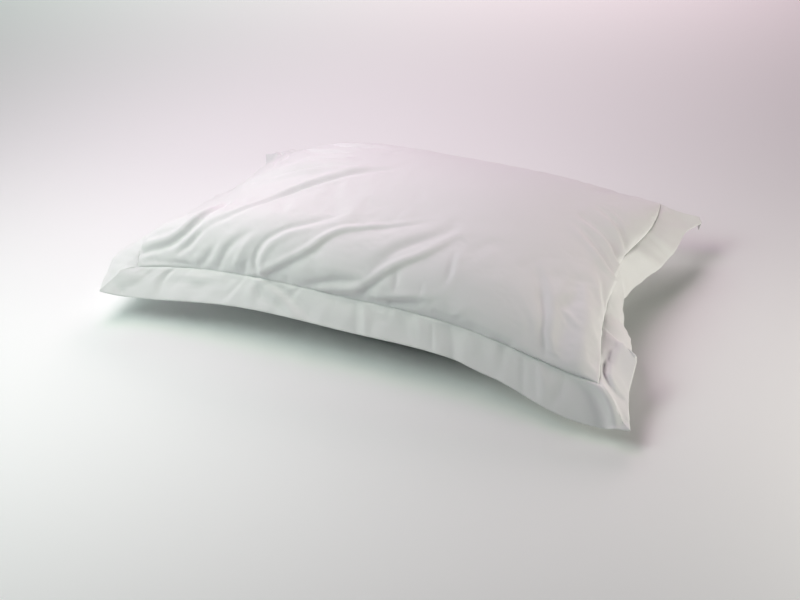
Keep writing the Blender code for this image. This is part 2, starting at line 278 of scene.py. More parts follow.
def blurred(grid: Array, cells: float) -> Array:
    """Smooth a grid both ways.

    Args:
        grid: the values.
        cells: about how many cells they are smoothed over.

    Returns:
        The smoothed values.
    """
    reach = int(3 * cells)
    weights = np.exp(-0.5 * (np.arange(-reach, reach + 1) / cells) ** 2)
    weights /= weights.sum()
    for axis in (0, 1):
        pad = [(reach, reach) if i == axis else (0, 0) for i in range(grid.ndim)]
        wide = np.pad(grid, pad, mode="reflect", reflect_type="odd")
        size = grid.shape[axis]
        parts = (weight * np.take(wide, np.arange(i, i + size), axis=axis)
                 for i, weight in enumerate(weights))
        grid = sum(parts)
    return grid


@dataclass(frozen=True)
class CaseForm:
    """The stuffed case's shape: its flat sizes, corners, sides and swell."""

    field_length: float = 0.750
    field_width: float = 0.500
    border: float = 0.050
    seam_height: float = 0.070
    crown: float = 0.077
    belly: float = 0.150
    settle: float = 0.010
    roundness: float = 2.25
    border_bow: float = 0.002
    on_origin: Place = (0.00230, -0.00018, 0.0)

    def fullness(self, side: Side) -> float:
        """Return how blunt the swell is towards a side; lower is blunter."""
        return {Side.LEFT: 0.56, Side.RIGHT: 0.47, Side.FRONT: 0.42, Side.BACK: 0.49}[side]

    def corner(self, corner: Corner) -> CornerLie:
        """Return how a corner lies.

        Args:
            corner: the corner.

        Returns:
            Its distances from its flat place.
        """
        return {
            Corner.FRONT_LEFT: CornerLie(-1, -1, 0.005, 0.012, 0.012, 0.009, 0.019, -0.023),
            Corner.FRONT_RIGHT: CornerLie(1, -1, 0.008, 0.005, -0.008, 0.003, 0.014, -0.043),
            Corner.BACK_RIGHT: CornerLie(1, 1, 0.020, 0.008, 0.026, 0.010, 0.014, -0.014),
            Corner.BACK_LEFT: CornerLie(-1, 1, 0.010, 0.006, -0.009, 0.001, 0.012, -0.039),
        }[corner]

    def run(self, side: Side) -> SideRun:
        """Return a side's run between its corners.

        Args:
            side: the side.

        Returns:
            Its corners, its inward way and half its length.
        """
        length, width = self.field_length / 2, self.field_width / 2
        return {
            Side.FRONT: SideRun(Corner.FRONT_LEFT, Corner.FRONT_RIGHT, (0, 1, 0), length),
            Side.RIGHT: SideRun(Corner.FRONT_RIGHT, Corner.BACK_RIGHT, (-1, 0, 0), width),
            Side.BACK: SideRun(Corner.BACK_LEFT, Corner.BACK_RIGHT, (0, -1, 0), length),
            Side.LEFT: SideRun(Corner.FRONT_LEFT, Corner.BACK_LEFT, (1, 0, 0), width),
        }[side]

    def stations(self, side: Side) -> tuple[Station, ...]:
        """Return the places where a side's draw-in and lift are given.

        Args:
            side: the side.

        Returns:
            The places, in order along the side.
        """
        return {
            Side.FRONT: (
                Station(-0.85, 0.015, 0.005, 0.015, -0.001),
                Station(-0.50, 0.021, 0.019, 0.031, 0.015),
                Station(0.00, 0.025, 0.022, 0.034, 0.020),
                Station(0.50, 0.020, 0.020, 0.025, 0.015),
                Station(0.85, 0.005, 0.005, -0.001, -0.007),
            ),
            Side.RIGHT: (
                Station(-0.85, 0.007, 0.001, 0.010, 0.011),
                Station(-0.50, 0.022, 0.005, 0.026, 0.013),
                Station(-0.15, 0.027, 0.008, 0.060, 0.000),
                Station(0.20, 0.028, 0.007, 0.064, -0.009),
                Station(0.50, 0.010, 0.003, 0.024, 0.003),
                Station(0.85, -0.002, 0.001, 0.010, 0.005),
            ),
            Side.BACK: (
                Station(-0.85, 0.004, 0.008, 0.005, 0.024),
                Station(-0.50, 0.012, 0.022, 0.024, 0.026),
                Station(0.00, 0.019, 0.022, 0.032, 0.024),
                Station(0.50, 0.016, 0.016, 0.026, 0.018),
                Station(0.85, 0.007, 0.006, 0.011, 0.012),
            ),
            Side.LEFT: (
                Station(-0.85, -0.006, 0.027, -0.007, 0.027),
                Station(-0.50, 0.018, 0.021, -0.004, 0.025),
                Station(0.00, 0.026, 0.016, 0.027, 0.032),
                Station(0.50, 0.022, 0.010, 0.030, 0.010),
                Station(0.85, 0.008, 0.006, 0.022, -0.001),
            ),
        }[side]

    def corner_point(self, corner: Corner, edge: bool = False) -> Array:
        """Return a corner.

        Args:
            corner: the corner.
            edge: True for the border's edge, False for the stitching.

        Returns:
            Its point, before the case is moved onto the origin.
        """
        lie = self.corner(corner)
        out = self.border if edge else 0.0
        in_x, in_y, rise = (lie.tip_in_x, lie.tip_in_y, lie.tip_z) if edge \
            else (lie.seam_in_x, lie.seam_in_y, lie.seam_z)
        return np.array((lie.x_sign * (self.field_length / 2 + out - in_x),
                         lie.y_sign * (self.field_width / 2 + out - in_y), rise + self.seam_height))

    def side_curve(self, side: Side, at: Array, edge: bool = False) -> Array:
        """Return points along a side.

        Args:
            side: the side.
            at: places along it, from -1 to 1.
            edge: True for the border's edge, False for the stitching.

        Returns:
            One point for each place.
        """
        run, stations = self.run(side), self.stations(side)
        start, end = self.corner_point(run.start, edge), self.corner_point(run.end, edge)
        knots = np.array([-1.0] + [station.at for station in stations] + [1.0])
        drawn = [station.edge_in if edge else station.seam_in for station in stations]
        lifted = [station.edge_lift if edge else station.seam_lift for station in stations]
        draw_in = natural_spline(knots, np.array([0.0] + drawn + [0.0]), at)
        lift = natural_spline(knots, np.array([0.0] + lifted + [0.0]), at)
        points = start + (end - start) * ((at + 1) / 2)[..., None]
        points = points + np.array(run.inward) * draw_in[..., None]
        points[..., 2] += lift
        return points

    def spanning_sheet(self, along: Array, across: Array) -> Array:
        """Return the sheet that spans the stitching line.

        Args:
            along: places from left to right, -1 to 1.
            across: places from front to back, -1 to 1.

        Returns:
            A point for each pair of places.
        """
        front, back = self.side_curve(Side.FRONT, along), self.side_curve(Side.BACK, along)
        left, right = self.side_curve(Side.LEFT, across), self.side_curve(Side.RIGHT, across)
        x_share, y_share = ((along + 1) / 2)[..., None], ((across + 1) / 2)[..., None]
        corner = {name: self.corner_point(name) for name in Corner}
        corners = (1 - x_share) * ((1 - y_share) * corner[Corner.FRONT_LEFT]
                                   + y_share * corner[Corner.BACK_LEFT]) \
            + x_share * ((1 - y_share) * corner[Corner.FRONT_RIGHT]
                         + y_share * corner[Corner.BACK_RIGHT])
        return (1 - y_share) * front + y_share * back + (1 - x_share) * left + x_share * right - corners

    def swell(self, at: Array, low: Side, high: Side) -> Array:
        """Return the swell across the field: 1 in the middle, 0 at either seam."""
        base = np.clip(1 - np.abs(at) ** self.roundness, 0.0, 1.0)
        return np.where(at < 0, base ** self.fullness(low), base ** self.fullness(high))

    def panel(self, along_share: Array, across_share: Array, rise: float) -> Array:
        """Return a panel's points.

        Args:
            along_share: shares of the cloth from left to right, -1 to 1.
            across_share: shares of the cloth from front to back, -1 to 1.
            rise: the panel's greatest height over the sheet that spans the stitching.

        Returns:
            A point for each pair of shares.
        """
        along, across = np.sin(along_share * math.pi / 2), np.sin(across_share * math.pi / 2)
        points = self.spanning_sheet(along, across)
        points[..., 2] += rise * self.swell(along, Side.LEFT, Side.RIGHT) \
            * self.swell(across, Side.FRONT, Side.BACK)
        return points + np.array(self.on_origin)

    def settled(self, height: Array) -> Array:
        """Return heights rounded off into the flat face that rests on the surface."""
        eased = (height + self.settle) ** 2 / (4 * self.settle)
        return np.where(height > self.settle, height, np.where(height < -self.settle, 0.0, eased))

    def flat_field(self, points: Array) -> Array:
        """Lay a panel out flat by its lengths of cloth.

        Args:
            points: the panel's grid of points.

        Returns:
            Each point's place on the flat case.
        """
        marks = []
        for axis, half in ((0, self.field_length / 2), (1, self.field_width / 2)):
            grid = np.moveaxis(points, axis, 0)
            steps = np.linalg.norm(np.diff(grid, axis=0), axis=-1)
            reach = np.concatenate([np.zeros((1,) + steps.shape[1:]), np.cumsum(steps, axis=0)])
            marks.append(np.moveaxis(half * (2 * reach / reach[-1] - 1), 0, axis))
        return np.stack(marks, axis=-1)


@dataclass(frozen=True)
class Shell:
    """A closed cloth: two panels that share their rim."""

    points: Array
    quads: Array
    flat: Array
    top: Array
    under: Array

    @classmethod
    def sewn(cls, top: Array, under: Array, flat: Array) -> "Shell":
        """Sew two grids of points together at their rims.

        Args:
            top: the upper panel's grid of points, which gives the rim.
            under: the lower panel's grid of points.
            flat: where the grid lies on the flat case.

        Returns:
            The shell, with its quads facing out.
        """
        columns, rows = top.shape[:2]
        top_index = np.arange(columns * rows).reshape(columns, rows)
        under_index = top_index.copy()
        inner = (columns - 2) * (rows - 2)
        under_index[1:-1, 1:-1] = columns * rows + np.arange(inner).reshape(columns - 2, rows - 2)
        points = np.concatenate([top.reshape(-1, 3), under[1:-1, 1:-1].reshape(-1, 3)])
        marks = np.concatenate([flat.reshape(-1, 2), flat[1:-1, 1:-1].reshape(-1, 2)])
        quads = np.concatenate([grid_quads(top_index), grid_quads(under_index)[:, ::-1]])
        return cls(points, quads, marks, top_index, under_index)

    def rim(self) -> Array:
        """Find the vertices on the stitching line.

        Returns:
            Their numbers.
        """
        edge = np.ones(self.top.shape, bool)
        edge[1:-1, 1:-1] = False
        return self.top[edge]


def grid_quads(index: Array) -> Array:
    """Return the quads of a grid of vertex numbers, facing up."""
    return np.stack([index[:-1, :-1], index[1:, :-1], index[1:, 1:], index[:-1, 1:]],
                    axis=-1).reshape(-1, 4)


def cloth_mesh(name: str, points: Array, quads: Array, marks: Array | None = None) -> bpy.types.Mesh:
    """Make a smooth mesh, with its place on the flat case as a map.

    Args:
        name: the mesh's name.
        points: its vertices.
        quads: its faces.
        marks: each vertex's place on the flat case, or None for no map.

    Returns:
        The mesh.
    """
    mesh = bpy.data.meshes.new(name)
    mesh.from_pydata(points.tolist(), [], quads.tolist())
    mesh.update()
    mesh.shade_smooth()
    if marks is not None:
        layer = mesh.uv_layers.new(name="flat_case")
        layer.uv.foreach_set("vector", marks[quads.ravel()].astype(np.float32).ravel())
    return mesh


def placed(name: str, data: bpy.types.ID) -> bpy.types.Object:
    """Put a mesh, a light or a camera into the scene.

    Args:
        name: the new object's name.
        data: what it shows.

    Returns:
        The object.
    """
    made = bpy.data.objects.new(name, data)
    bpy.context.scene.collection.objects.link(made)
    return made


def level_square(name: str, half: float) -> bpy.types.Mesh:
    """Make the mesh of a level square round the origin."""
    corners = np.array([(-half, -half, 0.0), (half, -half, 0.0), (half, half, 0.0), (-half, half, 0.0)])
    return cloth_mesh(name, corners, np.array([[0, 1, 2, 3]]))


@dataclass(frozen=True)
class PillowPressure:
    """The pillow inside, which presses the two panels out while their rim stays sewn."""

    pressure: float = 3.0
    frames: int = 40
    quality: int = 6
    mass: float = 0.01
    air_damping: float = 1.0
    stiffness: float = 40.0
    shear: float = 15.0
    bending: float = 0.5
    bending_damping: float = 0.5
    damping: float = 5.0
    friction: float = 20.0
    floor_gap: float = 0.003
    ease_along: float = 1.0
    ease_across: float = 1.02

    def settle(self, shell: Shell) -> Array:
        """Run the cloth and return where its points come to rest.

        Args:
            shell: the two panels, sewn, in the shape they start from.

        Returns:
            The shell's points after the last frame.
        """
        scene = bpy.context.scene
        mesh = cloth_mesh("panels_at_work", shell.points, shell.quads)
        panels = placed("panels_at_work", mesh)
        floor = placed("floor_at_work", level_square("floor_at_work", 1.0))
        panels.shape_key_add(name="Basis")
        cut = panels.shape_key_add(name="flat")
        laid = np.zeros_like(shell.points)
        laid[:, :2] = shell.flat * (self.ease_along, self.ease_across)
        cut.data.foreach_set("co", laid.astype(np.float32).ravel())
        sewn = panels.vertex_groups.new(name="sewn")
        sewn.add([int(i) for i in shell.rim()], 1.0, "REPLACE")
        self.add_cloth(panels, cut)
        floor.modifiers.new("surface", "COLLISION")
        floor.collision.thickness_outer = self.floor_gap
        floor.collision.cloth_friction = self.friction
        scene.frame_start, scene.frame_end = 1, self.frames
        for step in range(1, self.frames + 1):
            scene.frame_set(step)
        shape = panels.evaluated_get(bpy.context.evaluated_depsgraph_get()).data
        rested = np.empty(len(shape.vertices) * 3, np.float32)
        shape.vertices.foreach_get("co", rested)
        for obj in (panels, floor):
            spent = obj.data
            bpy.data.objects.remove(obj)
            bpy.data.meshes.remove(spent)
        scene.frame_set(1)
        return rested.reshape(-1, 3).astype(float)

    def add_cloth(self, panels: bpy.types.Object, cut: bpy.types.ShapeKey) -> None:
        """Give the panels their cloth and its settings.

        Args:
            panels: the object that the pillow presses out.
            cut: the key with the panels as they were cut.
        """
        cloth = panels.modifiers.new("cloth", "CLOTH")
        cloth.point_cache.frame_start, cloth.point_cache.frame_end = 1, self.frames
        values = cloth.settings
        values.quality, values.mass, values.air_damping = self.quality, self.mass, self.air_damping
        values.bending_model = "ANGULAR"
        values.tension_stiffness = values.compression_stiffness = self.stiffness
        values.shear_stiffness, values.bending_stiffness = self.shear, self.bending
        values.tension_damping = values.compression_damping = values.shear_damping = self.damping
        values.bending_damping = self.bending_damping
        values.use_pressure, values.uniform_pressure_force = True, self.pressure
        values.vertex_group_mass = "sewn"
        values.rest_shape_key = cut
        cloth.collision_settings.distance_min = self.floor_gap
        cloth.collision_settings.use_self_collision = False


@dataclass(frozen=True)
class Puckers:
    """The small gathers that the stitching leaves in the cloth on both its sides.

    They scatter from even places, by a share of the spacing, and lean by the slant. Their half
    widths and their shares of the reach are drawn between two values each. Towards the
    stitching itself they fade out, over the clear distance.
    """

    seed: int
    spacing: float
    height: float
    reach: float
    scatter: float = 0.5
    widths: tuple[float, float] = (0.0035, 0.0080)
    shares: tuple[float, float] = (0.4, 1.3)
    slant: float = 0.35
    clear: float = 0.0025

    def height_at(self, along: Array, distance: Array, half_length: float) -> Array:
        """Return how far the gathers lift the cloth.

        Args:
            along: metres along the stitching, from the side's middle.
            distance: metres from the stitching.
            half_length: half the side's length.

        Returns:
            Metres along the cloth's normal.
        """
        chance = np.random.default_rng(self.seed)
        count = int(2 * half_length / self.spacing)
        centres = np.linspace(-half_length, half_length, count) \
            + chance.normal(0.0, self.spacing * self.scatter, count)
        widths = chance.uniform(*self.widths, count)
        heights = chance.normal(0.0, self.height, count)
        reaches = self.reach * chance.uniform(*self.shares, count)
        slants = chance.normal(0.0, self.slant, count)
        lift = np.zeros(along.shape)
        for centre, width, height, reach, slant in zip(centres, widths, heights, reaches, slants):
            ridge = np.exp(-((along - centre - slant * distance) / width) ** 2)
            lift += height * ridge * np.exp(-(distance / reach) ** 2)
        return lift * (1 - np.exp(-distance / self.clear))


@dataclass(frozen=True)
class Crumple:
    """The faint unevenness of washed cotton, as a few waves laid over each other.

    The waves sway by so many radians, in so many turns to the metre along and across.
    """

    seed: int
    height: float
    shortest: float
    longest: float
    waves: int = 14
    sway: float = 0.6
    sways: FlatPlace = (3.1, 2.3)

    def height_at(self, flat: Array) -> Array:
        """Return how far the unevenness lifts the cloth.

        Args:
            flat: places on the flat case.

        Returns:
            Metres along the cloth's normal.
        """
        chance = np.random.default_rng(self.seed)
        lift = np.zeros(flat.shape[:-1])
        for _ in range(self.waves):
            length = math.exp(chance.uniform(math.log(self.shortest), math.log(self.longest)))
            angle, phase = chance.uniform(0, 2 * math.pi, 2)
            way = flat[..., 0] * math.cos(angle) + flat[..., 1] * math.sin(angle)
            turns = flat[..., 0] * self.sways[0] + flat[..., 1] * self.sways[1]
            bend = self.sway * np.sin(2 * math.pi * turns + phase)
            lift += np.sin(2 * math.pi * way / length + bend + phase) * length / self.longest
        return lift * self.height / math.sqrt(self.waves)


@dataclass(frozen=True)
class StuffedField:
    """The two panels inside the stitching, filled by the pillow.

    The cloth is worked on a grid of cells and dressed on a finer one, whose columns and rows
    gather towards the front and the left. Beside the seams, folds and unevenness fade out over
    fold_clear, the simulation's moves over move_clear, and the gathers over corner_clear from
    each corner. No move is longer than the cap. Round calm_at, on top, the moves and the
    unevenness are weaker. The roll is the low ridge beside the stitching.
    """

    form: CaseForm
    folds: tuple[Fold, ...]
    pressure: PillowPressure
    along_cells: int = 130
    across_cells: int = 88
    finer: float = 2.0
    gather: float = 1.8
    gather_to: float = 0.25
    gather_over: float = 0.06
    fine_places: int = 2001
    steepness: float = 0.6
    seam_row: float = 0.0015
    worked_share: float = 0.8
    fold_clear: float = 0.006
    move_clear: float = 0.004
    corner_clear: float = 0.020
    cap: float = 0.006
    calm_cells: float = 8.0
    calm: float = 0.85
    calm_at: FlatPlace = (0.12, 0.03)
    calm_size: FlatPlace = (0.22, 0.15)
    roll: float = 0.0006
    roll_at: float = 0.004
    roll_width: float = 0.003
    crumple: Crumple = Crumple(5, 0.0006, 0.018, 0.060)
    puckers: tuple[Puckers, ...] = tuple(Puckers(seed, 0.011, 0.0007, 0.020) for seed in (20, 21, 22, 23))

    def spaced(self, steps: int, gather: float = 1.0) -> Array:
        """Return shares that are even along the cloth.

        Args:
            steps: how many cells they part.
            gather: how much closer together they are at the front and the left.

        Returns:
            Shares from -1 to 1.
        """
        fine = np.linspace(-1, 1, self.fine_places)
        closeness = np.hypot(np.cos(fine * math.pi / 2) * math.pi / 2, self.steepness)
        closeness *= 1 + (gather - 1) / (1 + np.exp((fine - self.gather_to) / self.gather_over))
        reach = np.concatenate([[0.0], np.cumsum((closeness[1:] + closeness[:-1]) / 2)])
        return np.interp(np.linspace(0, reach[-1], steps + 1), reach, fine)

    def shares(self, cells: int, half_length: float) -> Array:
        """Return the shares of the finest grid, with one more row beside each seam.

        Args:
            cells: the cells of the grid that the cloth is worked on.
            half_length: half the field's flat length this way.

        Returns:
            Shares from -1 to 1.
        """
        beside = 1 - self.seam_row / half_length
        spaced = self.spaced(round(cells * self.finer), self.gather)
        return np.sort(np.concatenate([spaced, [-beside, beside]]))

    def grid(self, along: Array, across: Array) -> tuple[Array, Array, Array]:
        """Return the top, the underside and their flat places, before the cloth settles.

        Args:
            along: shares from left to right.
            across: shares from front to back.

        Returns:
            Two grids of points, and the grid of places on the flat case.
        """
        shares = np.meshgrid(along, across, indexing="ij")
        top = self.form.panel(*shares, self.form.crown)
        under = self.form.panel(*shares, -self.form.belly)
        under[..., 2] = self.form.settled(under[..., 2])
        return top, under, self.form.flat_field(top)

    def seam_distance(self, flat: Array) -> Array:
        """Return each place's distance from the stitching on the flat case."""
        return np.minimum(self.form.field_length / 2 - np.abs(flat[..., 0]),
                          self.form.field_width / 2 - np.abs(flat[..., 1]))

    def folded(self, top: Array, flat: Array, share: float) -> Array:
        """Fold the top.

        Args:
            top: its grid of points.
            flat: their places on the flat case.
            share: how much of each fold it gets.

        Returns:
            The folded grid.
        """
        height = sum(fold.height(flat) for fold in self.folds)
        height = height * np.clip(self.seam_distance(flat) / self.fold_clear, 0, 1)
        return top + grid_normals(top) * (share * height)[..., None]

    def loosened(self) -> tuple[Array, Array]:
        """Let the pillow press the cloth out.

        Returns:
            How the top and the underside move, without the broad swell.
        """
        top, under, flat = self.grid(self.spaced(self.along_cells), self.spaced(self.across_cells))
        top = self.folded(top, flat, self.worked_share)
        shell = Shell.sewn(top, under, flat)
        rested = self.pressure.settle(shell)
        moves = []
        for start, index in ((top, shell.top), (under, shell.under)):
            move = rested[index] - start
            move[~np.isfinite(move)] = 0.0
            move = move - blurred(move, self.calm_cells)
            size = np.linalg.norm(move, axis=-1, keepdims=True)
            move = move * np.minimum(1.0, self.cap / np.maximum(size, 1e-9))
            edge = np.clip(self.seam_distance(flat) / self.move_clear, 0, 1)
            moves.append(move * edge[..., None])
        return moves[0], moves[1]

    def refined(self, move: Array, along: Array, across: Array) -> Array:
        """Read the worked grid's moves at the finest grid's shares."""
        move = resampled(move, self.spaced(self.along_cells), along, 0)
        return resampled(move, self.spaced(self.across_cells), across, 1)

    def gathered(self, flat: Array) -> Array:
        """Add up the small gathers along the four seams.

        Args:
            flat: places on the flat case.

        Returns:
            Metres along the cloth's normal.
        """
        halves = (self.form.field_length / 2, self.form.field_width / 2)
        lift = np.zeros(flat.shape[:-1])
        for puckers, (axis, sign) in zip(self.puckers, ((1, -1), (0, 1), (1, 1), (0, -1))):
            along, run = flat[..., 1 - axis], halves[1 - axis]
            ends = np.clip((run - np.abs(along)) / self.corner_clear, 0, 1)
            lift += ends * puckers.height_at(along, halves[axis] - sign * flat[..., axis], run)
        return lift

    def calmness(self, flat: Array) -> Array:
        """Return how much of the unevenness each place keeps.

        Args:
            flat: places on the flat case.

        Returns:
            A share of 1 for each place, least in the middle of the calm cloth.
        """
        aside = ((flat[..., 0] - self.calm_at[0]) / self.calm_size[0]) ** 2
        return 1 - self.calm * np.exp(-aside - ((flat[..., 1] - self.calm_at[1]) / self.calm_size[1]) ** 2)

    def build(self, cotton: bpy.types.Material) -> bpy.types.Object:
        """Make the field.

        Args:
            cotton: the cloth's material.

        Returns:
            The piece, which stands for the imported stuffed_field.
        """
        along = self.shares(self.along_cells, self.form.field_length / 2)
        across = self.shares(self.across_cells, self.form.field_width / 2)
        top, under, flat = self.grid(along, across)
        calm = self.calmness(flat)
        top = self.folded(top, flat, 1.0)
        loose_top, loose_under = (self.refined(move, along, across) for move in self.loosened())
        top += loose_top * calm[..., None]
        under += loose_under
        distance = self.seam_distance(flat)
        fade = np.clip(distance / self.fold_clear, 0, 1)
        roll = self.roll * np.exp(-((distance - self.roll_at) / self.roll_width) ** 2)
        lift = self.gathered(flat) + fade * self.crumple.height_at(flat) * calm + roll
        lift[[0, -1], :] = 0.0
        lift[:, [0, -1]] = 0.0
        top += grid_normals(top) * lift[..., None]
        under[..., 2] = self.form.settled(under[..., 2]) * (under[..., 2] > 0) + 0.0
        shell = Shell.sewn(top, under, flat)
        mesh = cloth_mesh("field_cloth", shell.points, shell.quads, shell.flat)
        mesh.materials.append(cotton)
        piece = placed("field_cloth", mesh)
        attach(piece, "root")
        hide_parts("stuffed_field")
        return piece


@dataclass(frozen=True)
class FlatBorder:
    """The two layers of cloth that stand out round the stitching, with a turned edge.

    The rows are shares of the border's width, from the stitching to the edge, and so are
    turn_lead, turn_over, puff_at, puff_width, eased_from and clear. Heights are eased round each
    corner, and the back right tip is drawn out and hangs. The edge keeps at least a share of
    its thickness, whose square is thinnest.
    """

    form: CaseForm
    buckles: tuple[Buckle, ...]
    folds: tuple[Fold, ...]
    field: StuffedField
    sewn: float = 0.0008
    loose: float = 0.0016
    turned: float = 0.0022
    turned_width: float = 0.009
    turn_lead: float = 0.02
    turn_over: float = 0.05
    puff: float = 0.0008
    puff_at: float = 0.06
    puff_width: float = 0.035
    thinnest: float = 0.06
    eased: float = 0.020
    eased_from: float = 0.4
    eased_reach: float = 0.070
    eased_columns: int = 60
    hung: float = 0.017
    hung_way: Place = (0.45, 0.35, 1.20)
    drawn_out: float = 0.014
    drawn_way: Place = (0.95, 0.30, 0.0)
    clear: float = 0.10
    ripple: float = 0.00035
    ripple_growth: float = 1.5
    ripple_counts: tuple[int, ...] = (23, 31, 41, 57, 73)
    ripple_seed: int = 8
    crumple: Crumple = Crumple(9, 0.0007, 0.014, 0.050)
    puckers: Puckers = Puckers(31, 0.011, 0.0007, 0.018)
    rows: tuple[float, ...] = (0.0, 0.03, 0.07, 0.13, 0.21, 0.31, 0.42, 0.54, 0.66, 0.77, 0.83, 0.90,
                               0.95, 0.98, 1.0)

    def strip(self, side: Side, at: Array, rows: Array) -> Array:
        """Return points of a side's strip, straight from the stitching to the edge.

        Args:
            side: the side.
            at: places along it, from -1 to 1.
            rows: shares of the way out to the edge, of the same shape or broadcast with it.

        Returns:
            A point for each pair.
        """
        at, rows = np.broadcast_arrays(at, rows)
        inner, outer = self.form.side_curve(side, at), self.form.side_curve(side, at, edge=True)
        points = inner * (1 - rows[..., None]) + outer * rows[..., None]
        points[..., 2] += self.form.border_bow * np.sin(rows * math.pi)
        return points

    def corner_square(self, corner: Corner, out_x: Array, out_y: Array) -> Array:
        """Return points of a corner's square, a patch between the two strips and the edges.

        Args:
            corner: the corner.
            out_x: shares of the border's width past the end of the front or back strip.
            out_y: shares of the border's width past the end of the left or right strip.

        Returns:
            A point for each pair.
        """
        lie = self.form.corner(corner)
        runs = ((Side.BACK if lie.y_sign > 0 else Side.FRONT, lie.x_sign),
                (Side.RIGHT if lie.x_sign > 0 else Side.LEFT, lie.y_sign))
        beside, rims = [], []
        for (side, sign), onward, outward in zip(runs, (out_x, out_y), (out_y, out_x)):
            half = self.form.run(side).half_length
            beside.append(self.strip(side, sign * half / (half + self.form.border * outward), outward))
            at = sign * (half + self.form.border * onward) / (half + self.form.border)
            rims.append(self.strip(side, at, np.ones_like(at)))
        seam, tip = self.form.corner_point(corner), self.form.corner_point(corner, edge=True)
        ends = [self.strip(side, np.array(sign * half / (half + self.form.border)), np.array(1.0))
                for (side, sign), half in zip(runs, (self.form.field_length / 2, self.form.field_width / 2))]
        u, v = out_x[..., None], out_y[..., None]
        return (1 - u) * beside[0] + (1 - v) * beside[1] + v * rims[0] + u * rims[1] \
            - ((1 - u) * (1 - v) * seam + (1 - u) * v * ends[0] + u * (1 - v) * ends[1] + u * v * tip)

    def side_points(self, side: Side, shares: Array) -> tuple[Array, Array]:
        """Return one side of the border's middle sheet.

        Args:
            side: the side.
            shares: shares of the stitching, from -1 to 1.

        Returns:
            Points by columns and rows, and their places on the flat case.
        """
        run = self.form.run(side)
        at = np.sin(shares * math.pi / 2)[:, None]
        rows = np.array(self.rows)[None, :]
        points = self.strip(side, at, rows)
        along = at * (run.half_length + self.form.border * rows)
        for corner, end in ((run.start, along < -run.half_length), (run.end, along > run.half_length)):
            onward = (np.abs(along[end]) - run.half_length) / self.form.border
            outward = np.broadcast_to(rows, along.shape)[end]
            lengthwise = side in (Side.FRONT, Side.BACK)
            out_x, out_y = (onward, outward) if lengthwise else (outward, onward)
            points[end] = self.corner_square(corner, out_x, out_y)
        points += self.buckled(side, along, rows + np.zeros_like(along)) + np.array(self.form.on_origin)
        out = self.form.border * rows + np.zeros_like(along)
        out = out + (self.form.field_width if side in (Side.FRONT, Side.BACK) else self.form.field_length) / 2
        flat = {Side.FRONT: (along, -out), Side.BACK: (along, out),
                Side.RIGHT: (out, along), Side.LEFT: (-out, along)}[side]
        return points, np.stack(flat, axis=-1)

    def buckled(self, side: Side, along: Array, share: Array) -> Array:
        """Return how the buckles move one side.

        Args:
            side: the side.
            along: metres along it from its middle.
            share: share of the way from the stitching to the edge.

        Returns:
            A move for each place.
        """
        move = np.zeros(along.shape + (3,))
        inward = self.form.run(side).inward
        run = np.array([abs(inward[1]), abs(inward[0]), 0.0])
        for buckle in (row for row in self.buckles if row.side is side):
            centre = buckle.seam_at + (buckle.edge_at - buckle.seam_at) * share
            nearness = np.clip(np.abs(along - centre) / buckle.half_width, 0, 1)
            bump = np.cos(nearness * math.pi / 2) ** 2
            move[..., 2] += buckle.rise * bump * share
            move += run * (buckle.lean * bump * np.sqrt(share))[..., None]
        return move

    def ring(self) -> tuple[Array, Array]:
        """Join the four sides of the middle sheet.

        Returns:
            A closed ring of columns, and their places on the flat case.
        """
        sheets = [self.side_points(side, self.side_shares(side)) for side in Side]
        joined = []
        for front, right, back, left in zip(*sheets):
            joined.append(np.concatenate([front[:-1], right[:-1], back[:0:-1], left[:0:-1]]))
        return self.eased_corners(joined[0]), joined[1]

    def eased_corners(self, ring: Array) -> Array:
        """Smooth the heights round each corner, but for the stitched edge.

        Args:
            ring: the border's columns, whose heights are changed.

        Returns:
            The same ring.
        """
        height = ring[..., 2].copy()
        front, right = len(self.side_shares(Side.FRONT)) - 1, len(self.side_shares(Side.RIGHT)) - 1
        for corner in (0, front, front + right, 2 * front + right):
            near = np.arange(corner - self.eased_columns, corner + self.eased_columns + 1) % len(ring)
            for row in range(1, ring.shape[1]):
                steps = np.linalg.norm(np.diff(ring[near, row, :2], axis=0), axis=-1)
                reach = np.concatenate([[0.0], np.cumsum(steps)])
                reach -= reach[self.eased_columns]
                reach_width = self.eased * min(1.0, self.rows[row] / self.eased_from)
                weights = np.exp(-0.5 * ((reach[:, None] - reach) / reach_width) ** 2)
                weights *= np.gradient(reach)
                smooth = weights @ ring[near, row, 2] / weights.sum(axis=1)
                share = np.exp(-(reach / self.eased_reach) ** 4)
                height[near, row] += (smooth - ring[near, row, 2]) * share
        ring[..., 2] = height
        return ring

    def side_shares(self, side: Side) -> Array:
        """Return the shares of a side's columns.

        Args:
            side: the side.

        Returns:
            Shares from -1 to 1, the field's own.
        """
        if side in (Side.FRONT, Side.BACK):
            return self.field.shares(self.field.along_cells, self.form.field_length / 2)
        return self.field.shares(self.field.across_cells, self.form.field_width / 2)

    def ring_normals(self, ring: Array) -> Array:
        """Return the ring's upward normals.

        Args:
            ring: the border's columns.

        Returns:
            A normal for each point, straight up along the stitched edge.
        """
        first = (np.roll(ring, -1, axis=0) - np.roll(ring, 1, axis=0)) / 2
        normals = unit(np.cross(first, -np.gradient(ring, axis=1)))
        normals[:, 0, :] = (0, 0, 1)
        return normals

